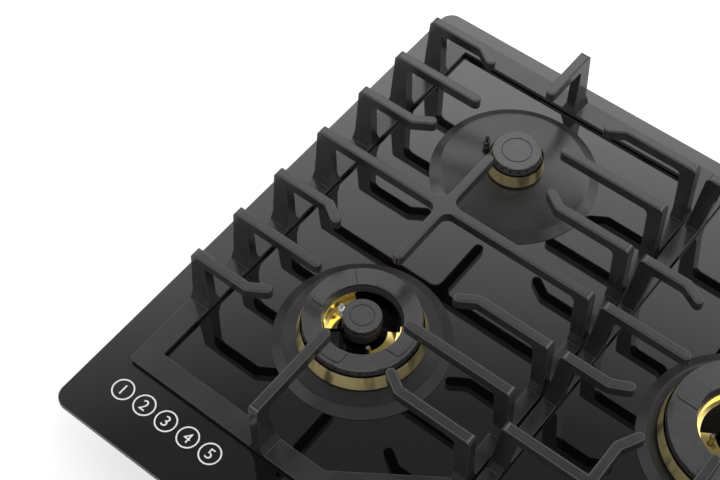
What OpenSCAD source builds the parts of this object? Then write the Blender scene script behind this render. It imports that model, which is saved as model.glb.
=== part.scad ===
// Built-in gas cooktop on black glass: five burners, three cast-iron grates and five push-and-turn taps.
// Millimetres. X to the right, Y to the rear, Z up. The origin is the middle of the base tray's underside.

/* [Glass] */
// Width of the glass panel, left to right
glass_w = 860; // [820:5:900]
// Depth of the glass panel, front to rear
glass_d = 510; // [490:5:530]
// Thickness of the glass
glass_t = 5; // [4:0.5:8]
// Corner radius of the glass
glass_corner_r = 12; // [4:1:30]

/* [Base tray] */
// Depth of the tray below the glass
tray_h = 55; // [50:1:75]
// Distance of the tray wall from the edge of the glass
tray_inset = 20; // [16:1:26]
// Width of the flange that carries the glass
tray_flange_w = 8; // [5:0.5:12]
// Sheet thickness of the tray
tray_t = 1; // [0.8:0.1:1.6]
// Corner radius of the tray wall
tray_corner_r = 10; // [4:1:20]
// Depth of the raised step along the rear edge
step_d = 46; // [42:1:52]
// Height of the raised step above the tray underside
step_h = 31; // [30:1:36]
// Height of the pressed platforms that carry the burners
platform_h = 6; // [4:0.5:8]
// Ventilation slots in each row
vent_count = 9; // [3:1:12]
// Length of one ventilation slot
vent_l = 30; // [16:1:40]
// Width of one ventilation slot
vent_w = 4; // [2:0.5:6]

/* [Worktop seal and clamps] */
// Thickness of the foam seal under the edge of the glass
seal_t = 3; // [2:0.5:4]
// Width of the foam seal
seal_w = 7; // [4:0.5:10]
// Distance of the seal from the edge of the glass
seal_inset = 3; // [1:0.5:5]
// Distance of the clamps from the middle of the tray
clamp_y = 150; // [90:5:170]
// Width of a clamp bracket
clamp_w = 22; // [14:1:30]
// Length of the clamp tongue beyond the tray wall
clamp_reach = 15; // [10:1:18]
// Thickness of the clamp strip
clamp_t = 2; // [1.5:0.25:3]
// Height of the clamp tongue above the tray underside
clamp_z = 10; // [6:1:16]
// Height of a clamp bracket
clamp_h = 24; // [18:1:32]
// Radius of the clamp screw
clamp_screw_r = 2; // [1.5:0.25:3]

/* [Burner positions] */
// Part of the room beside a dish, within its frame, that lies towards the seam
seam_share = 0.5833; // [0.45:0.0001:0.7]
// Part of the room before, between and behind the two dishes of a frame that lies in front
front_share = 0.3271; // [0.2:0.0001:0.4]
// Part of that room that lies behind
rear_share = 0.1063; // [0.05:0.0001:0.25]

/* [Grate frames] */
// Distance from the glass edge to the side frames
frame_side_margin = 25.2; // [20:0.1:32]
// Distance from the front edge of the glass to the side frames
frame_front_margin = 60.4; // [52:0.1:68]
// Distance from the rear edge of the glass to the frames
frame_rear_margin = 16.5; // [12:0.1:22]
// Half width of the middle grate
mid_grate_half = 135.2; // [128:0.1:140]
// Gap between neighbouring grates
grate_gap = 3; // [2:0.1:5]
// Width of the outer side bars
side_bar_w = 18; // [14:0.1:22]
// Width of the bars along the seams
seam_bar_w = 11.8; // [9:0.1:14]
// Width of the front and rear bars
end_bar_w = 18.6; // [14:0.1:22]
// Thickness of the frame bars
frame_t = 3.7; // [3:0.1:6]
// Height of the underside of the frames above the glass
frame_lift = 1.3; // [1:0.1:2]
// Length of the cut corner along the front
cut_run = 82.8; // [60:0.1:100]
// Depth of the cut corner
cut_rise = 57.6; // [45:0.1:66]
// Corner radius of the frames
frame_corner_r = 3; // [1:0.5:8]

/* [Fingers] */
// Height of the pan supports above the glass
finger_top = 67.5; // [60:0.5:75]
// Depth of a finger
finger_h = 9.4; // [8:0.1:12]
// Width of a finger
finger_w = 8.4; // [7:0.1:9.5]
// Radius along the top edges of the fingers
finger_edge_r = 1.4; // [0.8:0.1:2]
// Radius between a post and the underside of its finger
post_fillet_r = 5; // [3:0.5:7]
// Radius over the outer shoulder of a post
shoulder_r = 4.5; // [2:0.5:6]
// Extra width on each side of a post at its foot
foot_flare = 3.2; // [0:0.1:4]
// Height of the flared foot
foot_flare_h = 9; // [4:0.5:14]
// Distance of the inner rows of bent fingers from their burner's row
bent_row_in = 48.95; // [45:0.05:53]
// Distance of the outer rows of bent fingers from their burner's row
bent_row_out = 48.9; // [45:0.1:53]
// Radius of the circle that the straight tips leave free
tip_free_r = 40; // [36:0.5:44]
// Sideways distance from a side burner to the bends
bend_x = 71; // [67:0.5:76]
// Sideways distance from a side burner to the bent tips
bent_tip_x = 58.3; // [54:0.1:62]
// Distance front to rear from a side burner to the bent tips
bent_tip_y = 40.8; // [38:0.1:44]
// Radius of the fillets where the cross bars meet
cross_fillet_r = 7; // [3:0.5:10]
// Inward lean of the outer posts at the top
post_lean = 4.6; // [0:0.1:6]
// Inward lean of the posts along the seams
seam_lean = 1.5; // [0:0.1:4]
// Depth of a post at its top
post_top_d = 12.6; // [11:0.1:14]

/* [Middle grate] */
// Distance of the front cross bar from the front edge of the middle grate
front_bar_inset = 43.8; // [38:0.1:50]
// Radius that the straight tips leave free over the wok burner
wok_free_r = 55.3; // [52:0.1:60]
// Sideways distance from the wok burner to the bends
wok_bend_x = 90.5; // [86:0.5:96]
// Sideways distance from the wok burner to the side tips
wok_tip_x = 77; // [72:0.5:82]
// Distance front to rear from the wok burner to the side tips
wok_tip_y = 46.8; // [44:0.1:50]
// Sideways distance of the branch fingers
branch_x = 58.6; // [54:0.1:63]
// Distance from the wok burner to the bends of the branch fingers
branch_bend_y = 92.3; // [88:0.1:97]
// Sideways distance of the branch tips
branch_tip_x = 50.5; // [47:0.1:54]
// Distance from the wok burner to the branch tips
branch_tip_y = 77; // [73:0.1:81]

/* [Grate feet] */
// Radius of a rubber foot
pad_r = 4.5; // [3:0.25:5.5]
// Radius of the stem that holds a foot in its frame
pad_stem_r = 2; // [1.5:0.25:2.5]
// Length of the stem
pad_stem_h = 2; // [1:0.25:2.5]

/* [Small burner, left rear] */
// Lower radius of the brass skirt
small_r = 24; // [22:0.1:26]
// Upper radius of the brass skirt
small_rim_r = 22.7; // [21:0.1:23.5]
// Radius of the cap
small_cap_r = 20.2; // [18.5:0.1:20.8]
// Height of the lower edge of the skirt above the glass
small_z = 13.8; // [12:0.1:15]
// Flame ports around the cap
small_ports = 18; // [12:1:20]
// Radius of the ring engraved in the cap
small_mark_r = 12.3; // [9:0.1:15]

/* [Medium burners, right] */
// Lower radius of the brass skirt
medium_r = 31; // [29:0.1:33]
// Upper radius of the brass skirt
medium_rim_r = 29.4; // [27.5:0.1:30]
// Radius of the cap
medium_cap_r = 26.8; // [25:0.1:27.2]
// Height of the lower edge of the skirt above the glass
medium_z = 13; // [11:0.1:14]
// Flame ports around the cap
medium_ports = 24; // [16:1:26]
// Radius of the ring engraved in the cap
medium_mark_r = 16; // [12:0.5:20]

/* [Double burner, left front] */
// Lower radius of the brass skirt
double_r = 51.6; // [50:0.1:53]
// Upper radius of the brass skirt
double_rim_r = 48.1; // [47.5:0.1:49]
// Outer radius of the ring cap
double_cap_r = 46.7; // [45.5:0.1:46.9]
// Inner radius of the ring cap
double_hole_r = 31.6; // [30.5:0.1:33]
// Height of the lower edge of the skirt above the glass
double_z = 11.2; // [10:0.1:13]
// Flame ports around the ring cap
double_ports = 30; // [20:1:32]

/* [Wok burner, middle] */
// Lower radius of the brass skirt
wok_r = 62.1; // [60:0.1:64]
// Upper radius of the brass skirt
wok_rim_r = 59.4; // [58:0.1:60]
// Outer radius of the ring cap
wok_cap_r = 57.8; // [56:0.1:58]
// Inner radius of the ring cap
wok_hole_r = 36; // [34:0.1:38]
// Height of the lower edge of the skirt above the glass
wok_z = 7.2; // [6.5:0.1:9]
// Flame ports around the ring cap
wok_ports = 36; // [24:1:38]

/* [Inner burners] */
// Radius of the inner caps
inner_cap_r = 15.2; // [14:0.1:16]
// Height of an inner cap's top over the ring cap's top
inner_rise = 4.4; // [2:0.1:6]
// Flame ports around an inner cap
inner_ports = 12; // [8:1:14]
// Radius of the ring engraved in an inner cap
inner_mark_r = 9.4; // [6:0.1:11]

/* [Crowns and caps] */
// Height of the brass skirt
skirt_h = 12.4; // [10:0.1:14]
// Height from the brass rim to the top of the cap
band_h = 7.4; // [6.5:0.1:9]
// Depth of the seat inside the brass rim
rim_seat = 1.5; // [1:0.1:2]
// Width of the brass rim
rim_w = 1.2; // [0.8:0.1:1.5]
// Radius of one flame port
port_r = 1; // [0.7:0.05:1.2]
// Height of the ports above the brass rim
port_z = 2.6; // [2:0.1:3.5]
// Thickness of the cap plate
cap_t = 2.6; // [2:0.1:3]
// Wall thickness of the cap skirt
cap_wall = 2.4; // [1.8:0.1:3]
// Overhang of the cap plate over its skirt
cap_lip = 0.6; // [0.3:0.1:1.2]
// Width of the engraved ring
mark_w = 0.7; // [0.4:0.1:1.2]
// Depth of the engraved ring
mark_depth = 0.4; // [0.2:0.1:0.8]
// Width of the raised pads on the ring caps
pad_plate_w = 21; // [14:0.5:24]
// Height of the raised pads
pad_plate_h = 0.7; // [0.4:0.1:1.2]
// Distance of the pads from the outer edge of the ring cap
pad_plate_inset = 3.2; // [2:0.1:5]
// Corner radius of the pads
pad_plate_r = 4; // [2:0.5:6]

/* [Spill dishes] */
// Outer radius of the dishes of the side burners
dish_r = 71; // [68:0.5:74]
// Outer radius of the wok burner's dish
wok_dish_r = 77.5; // [75:0.5:80]
// Width of the sloping flank of a dish
flank_w = 9; // [6:0.5:11]
// Height of the flank
flank_h = 5.4; // [4:0.1:6.5]
// Thickness of a dish
dish_t = 1.5; // [1:0.1:2]
// Gap between a dish and the brass skirt above it
dish_gap = 3; // [2:0.1:4]

/* [Burner cups] */
// Height of the foot flange
cup_foot_t = 4; // [3:0.5:6]
// Width of the foot flange around the cup
cup_foot_w = 9; // [7:0.5:12]
// Wall thickness of the cup collar
cup_wall = 3; // [2.5:0.5:4]
// Radius of the gas throat of a single burner
throat_r = 7; // [5:0.5:8]
// Width of the step between the collar and the skirt
collar_inset = 3.4; // [3:0.1:5]
// Radial gap between a ring burner's collar and the hole in the glass
glass_hole_gap = 3.5; // [2.5:0.25:5]
// Height of a jet
jet_h = 10; // [8:0.5:11]
// Thickness of the bowl inside a ring crown
bowl_t = 3; // [2:0.1:4]
// Height of the bowl over the lower edge of its skirt
bowl_z = 2.4; // [2:0.1:4]
// Height of the gas channel's floor over the lower edge of its skirt
channel_z = 5; // [4.5:0.1:7]
// Height of the hub over the bowl
hub_h = 3; // [2:0.1:5]
// Radius of a jet
jet_r = 4; // [3:0.25:5]
// Radius of a jet's nozzle
nozzle_r = 2.4; // [2:0.1:2.8]
// Radius of a jet's bore
jet_bore_r = 1.2; // [0.6:0.1:1.5]

/* [Ignition and flame sensing] */
// Radius of a ceramic igniter
igniter_r = 2.8; // [2.2:0.1:3.2]
// Distance of an igniter from the brass skirt
igniter_gap = 2.4; // [2:0.1:3]
// Height of the igniter top above the glass
igniter_z = 27; // [24:0.5:30]
// Radius of a flame sensor
sensor_r = 2.2; // [1.8:0.1:2.6]
// Radius of an igniter pin
pin_r = 0.9; // [0.6:0.1:1.2]
// Length of an igniter pin
pin_h = 4; // [3:0.5:5]
// Depth of the waist round a ceramic
waist_d = 0.8; // [0.4:0.1:1.2]
// Length of the waist
waist_l = 2; // [1:0.5:3]
// Distance of the waist from the top of a ceramic
waist_from_top = 4; // [3:0.5:5]
// Length of the battery ignition box
ignition_l = 78; // [60:1:100]
// Width of the battery ignition box
ignition_w = 42; // [34:1:50]
// Height of the battery ignition box
ignition_h = 30; // [24:1:34]

/* [Knobs] */
// Distance between neighbouring knobs
knob_pitch = 66; // [56:1:68]
// Distance of the knobs from the front edge of the glass
knob_from_front = 60; // [50:1:66]
// Radius of a knob at its foot
knob_r = 21; // [18:0.5:23]
// Radius of a knob at its top
knob_top_r = 18; // [15:0.5:20]
// Height of a knob
knob_h = 22; // [18:0.5:28]
// Height of the knob foot above the glass
knob_lift = 6.5; // [5.5:0.5:8]
// Grip flutes around a knob
knob_flutes = 24; // [12:1:30]
// Radius of one grip flute
flute_r = 1.6; // [1:0.1:2]
// Width of the pointer groove
pointer_w = 2; // [1:0.5:3]
// Wall thickness of a knob
knob_wall = 3; // [2:0.25:3.5]
// Travel of a knob when it is pushed
knob_push = 3.5; // [2:0.5:4]
// Radius of the bezel ring under a knob
bezel_r = 24; // [23:0.5:26]
// Height of the bezel ring
bezel_h = 1.4; // [1:0.1:2]

/* [Taps] */
// Radius of the spindle
spindle_r = 4; // [3:0.1:4.5]
// Width across the flat and the round side of the spindle's key
spindle_key = 6.4; // [5.5:0.1:7]
// Radius of the tap plug
plug_r = 7; // [6:0.1:8]
// Height of the tap plug
plug_h = 18; // [14:0.5:20]
// Width of a tap body
tap_w = 26; // [22:1:30]
// Depth of a tap body
tap_d = 28; // [24:1:32]
// Height of a tap body
tap_h = 22; // [20:0.5:24]
// Length of an outlet stub
stub_l = 12; // [10:0.5:14]
// Length of the spindle's key inside the plug
key_h = 5; // [4:0.5:6]
// Radius of the gas way through a plug
gas_way_r = 2; // [1.5:0.1:2.5]

/* [Gas rail and pipes] */
// Width of the square gas rail
rail_w = 14; // [12:0.5:16]
// Wall thickness of the gas rail
rail_t = 1.5; // [1:0.1:2]
// Height of the rail above the tray floor
rail_lift = 7; // [6:0.5:8]
// Distance from the tray wall to the middle of the rail's rear arm
rail_arm_inset = 44; // [34:1:54]
// Thickness of the rail saddles
saddle_t = 1.5; // [1:0.1:2]
// Length of a rail saddle
saddle_l = 16; // [10:1:20]
// Radius of a burner pipe
pipe_r = 4; // [3:0.1:4.2]
// Wall thickness of a burner pipe
pipe_t = 1; // [0.5:0.1:1.5]
// Bend radius of the pipes
pipe_bend_r = 14; // [10:1:24]
// Length of a pipe end inside its socket
pipe_hold = 8; // [6:0.5:9]
// Distance between the two pipes of a double burner
twin_pitch = 12; // [11:0.5:13]
// Radius of the inlet thread
inlet_r = 10.48; // [8:0.01:11]
// Length of the inlet thread
inlet_l = 15; // [12:0.5:18]
// Radius of the inlet bore
inlet_bore_r = 6; // [4:0.1:7]
// Thickness of the inlet nut
nut_h = 6; // [4:0.5:8]

/* [Screws and clearances] */
// Radius of a cup screw
screw_r = 2; // [1.5:0.1:2.5]
// Radius of a screw head
screw_head_r = 3.6; // [3:0.1:4]
// Height of a screw head
screw_head_h = 2.2; // [1.5:0.1:3]
// Gap under a piece that lifts off
rest_gap = 0.3; // [0.2:0.05:0.5]
// Radial gap round a piece that passes through another
pass_gap = 0.4; // [0.3:0.05:0.8]
// Radial running gap of a turning or sliding fit
run_gap = 0.05; // [0.02:0.01:0.1]

/* [Hidden] */
$fn = 64;

// How much smaller a knuckle is than its finger, and how far some cuts overlap
hair = 0.04;

// Levels above the tray underside
glass_z = tray_h + glass_t;
finger_top_z = glass_z + finger_top;
finger_low_z = finger_top_z - finger_h;
frame_z = glass_z + frame_lift;
frame_top_z = frame_z + frame_t;

// Tray wall, half sizes
tray_x = glass_w / 2 - tray_inset;
tray_y = glass_d / 2 - tray_inset;

// Frame edges
frame_x = glass_w / 2 - frame_side_margin;
frame_front_y = -glass_d / 2 + frame_front_margin;
frame_rear_y = glass_d / 2 - frame_rear_margin;
seam_x = mid_grate_half + grate_gap;
mid_front_y = frame_front_y + cut_rise;
tip_r = finger_w / 2;

// Length rounded to a tenth of a millimetre
function tenth(x) = round(10 * x) / 10;

// Burner centres, from the room that the dishes leave inside a side frame
room_x = frame_x - seam_x - side_bar_w - seam_bar_w - 2 * dish_r;
room_y = frame_rear_y - frame_front_y - 2 * end_bar_w - 4 * dish_r;
side_x = tenth(seam_x + seam_bar_w + dish_r + seam_share * room_x);
front_y = tenth(frame_front_y + end_bar_w + dish_r + front_share * room_y);
rear_y = tenth(frame_rear_y - end_bar_w - dish_r - rear_share * room_y);
mid_y = (front_y + rear_y) / 2;
burner_row = (rear_y - front_y) / 2;

// Rows of fingers, from the middle row of burners
row_inner = burner_row - bent_row_in;
row_outer = burner_row + bent_row_out;
front_bar_y = mid_y - mid_front_y - front_bar_inset;

// Collar radii, from the brass skirts that stand on them
collar_small_r = small_r - collar_inset;
collar_medium_r = medium_r - collar_inset;
collar_double_r = double_r - collar_inset;
collar_wok_r = wok_r - collar_inset;

// Taps, rail and knobs
knob_y = -glass_d / 2 + knob_from_front;
knob_x = [for (i = [-2:2]) i * knob_pitch];
rail_z = tray_t + rail_lift;
tap_z = rail_z + rail_w;
pipe_z = tap_z + tap_h / 2;
plug_z = tap_z + (tap_h - plug_h) / 2;
way_z = plug_z + 2 * gas_way_r;
spindle_z = plug_z + plug_h - key_h;
knob_z = glass_z + knob_lift;
spindle_top_z = knob_z + knob_h - knob_wall;
rail_end_y = tray_y - step_d - 12;
rail_arm_x = tray_x - rail_arm_inset;
pipe_fit = pass_gap / 4;
cup_floor_z = platform_h + cup_foot_t;
ignition_x = side_x / 2 + 12;
cover_r = ignition_h / 2 - 4;

// Windows between the bridges of a ring crown, start and end angle
windows = [[45, 130], [215, 300]];

// Rounded rectangle centred on the origin, made of true arcs
module rounded_plate(x, y, r) {
    square([x, y - 2 * r], center = true);
    square([x - 2 * r, y], center = true);
    for (sx = [-1, 1], sy = [-1, 1])
        translate([sx * (x / 2 - r), sy * (y / 2 - r)]) circle(r);
}

// Slot with round ends along X
module slot(l, w) {
    square([l - w, w], center = true);
    for (s = [-1, 1]) translate([s * (l - w) / 2, 0]) circle(w / 2);
}

// Children placed at every knob
module at_knobs() {
    for (x = knob_x) translate([x, knob_y, 0]) children();
}

// Children placed at the small, medium, double and wok burners
module at_small() {
    translate([-side_x, rear_y, 0]) children();
}

module at_medium() {
    for (y = [front_y, rear_y]) translate([side_x, y, 0]) children();
}

module at_double() {
    translate([-side_x, front_y, 0]) children();
}

module at_wok() {
    translate([0, mid_y, 0]) children();
}

// Igniter and sensor places round a single burner
igniter_a = 180;
sensor_a = 228;
// The same inside a ring burner
ring_igniter_a = 174;
ring_sensor_a = 319;
function probe_r(collar) = collar + collar_inset + igniter_gap + igniter_r;
function single_hole_r(collar) = probe_r(collar) + igniter_r + 4 * pass_gap;
function ring_hole_r(collar) = collar + glass_hole_gap;
function foot_r(collar) = collar + cup_foot_w;

// Heights inside a cup
jet_z = pipe_z + pipe_r + 1;
ledge_t = 4;
ledge_z = tray_h - ledge_t - 1;

// Inner wall of a ring crown, and the circle on which its igniter and sensor stand
column_r = 13;
mix_tube_r = throat_r;
mix_bore_r = mix_tube_r - 2;
function inner_wall_r(hole_r) = hole_r - 2.2;
function probe_top(skirt_z) = glass_z + skirt_z + skirt_h - 2;
function ring_probe_r(hole_r) = (inner_cap_r + inner_wall_r(hole_r)) / 2;
function channel_in(hole_r) = hole_r + 2;
function channel_out(cap_r) = cap_r - cap_lip - cap_wall - 1;
function mix_r(hole_r, cap_r) = (channel_in(hole_r) + channel_out(cap_r)) / 2;

// Glass panel with its burner and spindle holes
module glass_panel() {
    color([0.05, 0.05, 0.055])
    difference() {
        translate([0, 0, tray_h]) linear_extrude(glass_t) rounded_plate(glass_w, glass_d, glass_corner_r);
        translate([0, 0, tray_h - 1]) {
            at_small() cylinder(r = single_hole_r(collar_small_r), h = glass_t + 2);
            at_double() cylinder(r = ring_hole_r(collar_double_r), h = glass_t + 2);
            at_medium() cylinder(r = single_hole_r(collar_medium_r), h = glass_t + 2);
            at_wok() cylinder(r = ring_hole_r(collar_wok_r), h = glass_t + 2);
            at_knobs() cylinder(r = spindle_r + 4 * pass_gap, h = glass_t + 2);
        }
    }
}

module tray_outline(grow) {
    rounded_plate(2 * (tray_x + grow), 2 * (tray_y + grow), tray_corner_r + grow);
}

// Children placed at each burner foot, cut or raised to that foot's radius
module platforms(less, h) {
    at_small() cylinder(r = foot_r(collar_small_r) + tray_t - less, h = h);
    at_double() cylinder(r = foot_r(collar_double_r) + tray_t - less, h = h);
    at_medium() cylinder(r = foot_r(collar_medium_r) + tray_t - less, h = h);
    at_wok() cylinder(r = foot_r(collar_wok_r) + tray_t - less, h = h);
}

// Folded and pressed steel tray: walls, flange, stepped floor, platforms and vents
module base_tray() {
    step_y = tray_y - step_d;
    vent_pitch = vent_l + 3 * vent_w;
    color([0.62, 0.63, 0.65])
    difference() {
        union() {
            difference() {
                linear_extrude(tray_h) tray_outline(0);
                difference() {
                    translate([0, 0, tray_t]) linear_extrude(tray_h) tray_outline(-tray_t);
                    translate([-tray_x, step_y, 0]) cube([2 * tray_x, step_d, step_h]);
                }
            }
            translate([0, 0, tray_h - tray_t]) linear_extrude(tray_t) difference() {
                tray_outline(tray_flange_w);
                tray_outline(-tray_t);
            }
            platforms(0, platform_h);
        }
        translate([-tray_x - 1, step_y + tray_t, -1]) cube([2 * tray_x + 2, step_d, step_h - tray_t + 1]);
        translate([0, 0, -1]) platforms(tray_t, platform_h - tray_t + 1);
        at_cup_screws() cylinder(r = screw_r + pass_gap, h = platform_h + 1);
        translate([rail_arm_x, step_y - 1, rail_z + rail_w / 2]) rotate([-90, 0, 0])
            cylinder(r = inlet_r + pass_gap, h = tray_t + 2);
        for (i = [0:vent_count - 1])
            translate([(i - (vent_count - 1) / 2) * vent_pitch, -tray_y + 2 * vent_w + tray_t, -1])
                linear_extrude(tray_t + 2) slot(vent_l, vent_w);
        at_clamps() translate([-tray_t - 1, 0, clamp_z + clamp_h / 2]) rotate([0, 90, 0])
            cylinder(r = clamp_screw_r + pass_gap, h = tray_t + 2);
    }
}

// Foam seal between the glass and the worktop
module worktop_seal() {
    ring_x = glass_w - 2 * seal_inset;
    ring_y = glass_d - 2 * seal_inset;
    outer_r = max(glass_corner_r - seal_inset, 1);
    color([0.16, 0.16, 0.17])
    translate([0, 0, tray_h - seal_t]) linear_extrude(seal_t) difference() {
        rounded_plate(ring_x, ring_y, outer_r);
        rounded_plate(ring_x - 2 * seal_w, ring_y - 2 * seal_w, max(outer_r - seal_w, 1));
    }
}

// Children placed at the four clamps, with +X pointing out of the tray
module at_clamps() {
    for (y = [-clamp_y, clamp_y]) {
        translate([tray_x, y, 0]) children();
        translate([-tray_x, y, 0]) rotate([0, 0, 180]) children();
    }
}

// Angle brackets that hold the cooktop down from below the worktop
module clamp_brackets() {
    color([0.7, 0.71, 0.72])
    at_clamps() difference() {
        translate([0, -clamp_w / 2, clamp_z]) {
            cube([clamp_t, clamp_w, clamp_h]);
            cube([clamp_reach, clamp_w, clamp_t]);
            translate([clamp_reach - clamp_t, 0, 0]) cube([clamp_t, clamp_w, 3 * clamp_t]);
        }
        translate([-1, 0, clamp_z + clamp_h / 2]) rotate([0, 90, 0])
            cylinder(r = clamp_screw_r + pass_gap, h = clamp_t + 2);
    }
}

// Slotted screws of the clamps
module clamp_screws() {
    shank = clamp_t + tray_t + 3 * clamp_screw_r;
    color([0.75, 0.75, 0.76])
    at_clamps() translate([clamp_t, 0, clamp_z + clamp_h / 2]) rotate([0, 90, 0]) {
        translate([0, 0, -shank]) cylinder(r = clamp_screw_r, h = shank);
        difference() {
            cylinder(r = 2 * clamp_screw_r, h = screw_head_h);
            translate([0, 0, screw_head_h / 2]) linear_extrude(screw_head_h)
                square([4 * clamp_screw_r + 1, 1], center = true);
        }
    }
}

// Section of a finger across its length, top edges rounded; low is the lower edge
module finger_section(low) {
    r = finger_edge_r;
    translate([-finger_w / 2, low]) square([finger_w, finger_top_z - r - low]);
    translate([-finger_w / 2 + r, low]) square([finger_w - 2 * r, finger_top_z - low]);
    for (s = [-1, 1]) translate([s * (finger_w / 2 - r), finger_top_z - r]) circle(r);
}

// Round end or knuckle of a finger at point p, a hair smaller than the finger so that it blends into it
module knuckle(p) {
    r = finger_w / 2 - hair;
    e = finger_edge_r;
    top = finger_top_z - hair;
    translate([p[0], p[1], 0]) rotate_extrude() {
        difference() {
            translate([0, finger_low_z + hair]) square([r, finger_h - 2 * hair]);
            translate([r - e, top - e]) square(e + 1);
        }
        translate([0, top - e - 1]) square([r - e, e + 1]);
        intersection() {
            translate([r - e, top - e]) circle(e);
            translate([r - e, top - e]) square(e);
        }
    }
}

// Straight piece of a finger from point a to point b
module finger_run(a, b) {
    translate([a[0], a[1], 0]) rotate([0, 0, atan2(b[1] - a[1], b[0] - a[0])]) rotate([90, 0, 90])
        linear_extrude(norm(b - a)) finger_section(finger_low_z);
}

// Finger along a chain of points, with a knuckle at each bend and at the tip
module finger(pts) {
    for (i = [1:len(pts) - 1]) {
        finger_run(pts[i - 1], pts[i]);
        knuckle(pts[i]);
    }
}

// Post seen along the bar: outer face at x = 0, finger towards +X
module post_side(base_d, lean) {
    inner = lean + post_top_d;
    r = shoulder_r;
    f = post_fillet_r;
    polygon([
        [0, frame_z], [base_d, frame_z], [base_d, frame_top_z], [inner, finger_low_z - f],
        [inner, finger_low_z], [inner + f, finger_low_z], [inner + f, finger_top_z], [lean + r, finger_top_z],
        [lean + r, finger_top_z - r], [lean, finger_top_z - r], [0, frame_top_z]
    ]);
    translate([lean + r, finger_top_z - r]) circle(r);
    difference() {
        translate([inner - 1, finger_low_z - f]) square([f + 1, f + 1]);
        translate([inner + f, finger_low_z - f]) circle(f);
    }
}

// Post seen across the bar, widened at its foot
module post_front() {
    w = finger_w / 2;
    finger_section(frame_z);
    polygon([
        [-w - foot_flare, frame_z], [w + foot_flare, frame_z], [w + foot_flare, frame_top_z],
        [w, frame_top_z + foot_flare_h], [-w, frame_top_z + foot_flare_h], [-w - foot_flare, frame_top_z]
    ]);
}

// Post rising from the frame at point p and turned to angle a
module post(p, a, base_d, lean) {
    half = finger_w / 2 + foot_flare + 1;
    translate([p[0], p[1], 0]) rotate([0, 0, a]) intersection() {
        translate([0, half, 0]) rotate([90, 0, 0]) linear_extrude(2 * half) post_side(base_d, lean);
        translate([-1, 0, 0]) rotate([90, 0, 90])
            linear_extrude(base_d + lean + post_top_d + post_fillet_r + 2) post_front();
    }
}

// Distance from a post's outer face to the start of its finger
function reach(lean) = lean + post_top_d + post_fillet_r;

// Four concave fillets where two bars cross at the origin
module cross_fillets() {
    w = finger_w / 2 - 2 * finger_edge_r;
    s = cross_fillet_r + 2 * finger_edge_r;
    for (a = [0, 90, 180, 270]) rotate([0, 0, a]) translate([w, w]) difference() {
        square(s);
        translate([s, s]) circle(cross_fillet_r);
    }
}

// Left frame outline with its cut front corner; side, seam and ends are how far each side moves inwards
module side_frame_outline(side, seam, ends) {
    slant = norm([cut_run, cut_rise]) / cut_run;
    slope = cut_rise / cut_run;
    x0 = -frame_x + side;
    x1 = -seam_x - seam;
    y0 = frame_front_y + ends;
    y1 = frame_rear_y - ends;
    cut_x = -seam_x - cut_run + ends * (1 - slant) / slope;
    cut_y = frame_front_y + cut_rise + ends * slant - seam * slope;
    polygon([[x0, y0], [cut_x, y0], [x1, cut_y], [x1, y1], [x0, y1]]);
}

// What a rounded corner leaves out, for a corner at the origin that points towards +X and +Y
module corner_waste(r) {
    translate([-r, -r]) difference() {
        square(r + 1);
        circle(r);
    }
}

// Places of the feet under the left grate
function side_pads() = [
    [-frame_x + side_bar_w / 2, frame_front_y + end_bar_w / 2],
    [-frame_x + side_bar_w / 2, frame_rear_y - end_bar_w / 2],
    [-seam_x - seam_bar_w / 2, frame_rear_y - end_bar_w / 2],
    [-seam_x - seam_bar_w / 2, mid_y - row_outer],
    [-seam_x - cut_run, frame_front_y + end_bar_w / 2]
];

// Places of the feet under the middle grate
function mid_pads() = [
    for (s = [-1, 1], y = [mid_front_y + end_bar_w / 2, frame_rear_y - end_bar_w / 2])
        [s * (mid_grate_half - seam_bar_w / 2), y]
];

module pad_holes(pads) {
    for (p = pads) translate([p[0], p[1], frame_z - 1])
        cylinder(r = pad_stem_r + pass_gap / 4, h = pad_stem_h + 1 + pass_gap / 4);
}

module feet(pads) {
    color([0.1, 0.1, 0.1])
    for (p = pads) translate([p[0], p[1], glass_z + rest_gap]) {
        cylinder(r = pad_r, h = frame_lift - rest_gap);
        cylinder(r = pad_stem_r, h = frame_lift - rest_gap + pad_stem_h);
    }
}

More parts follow.
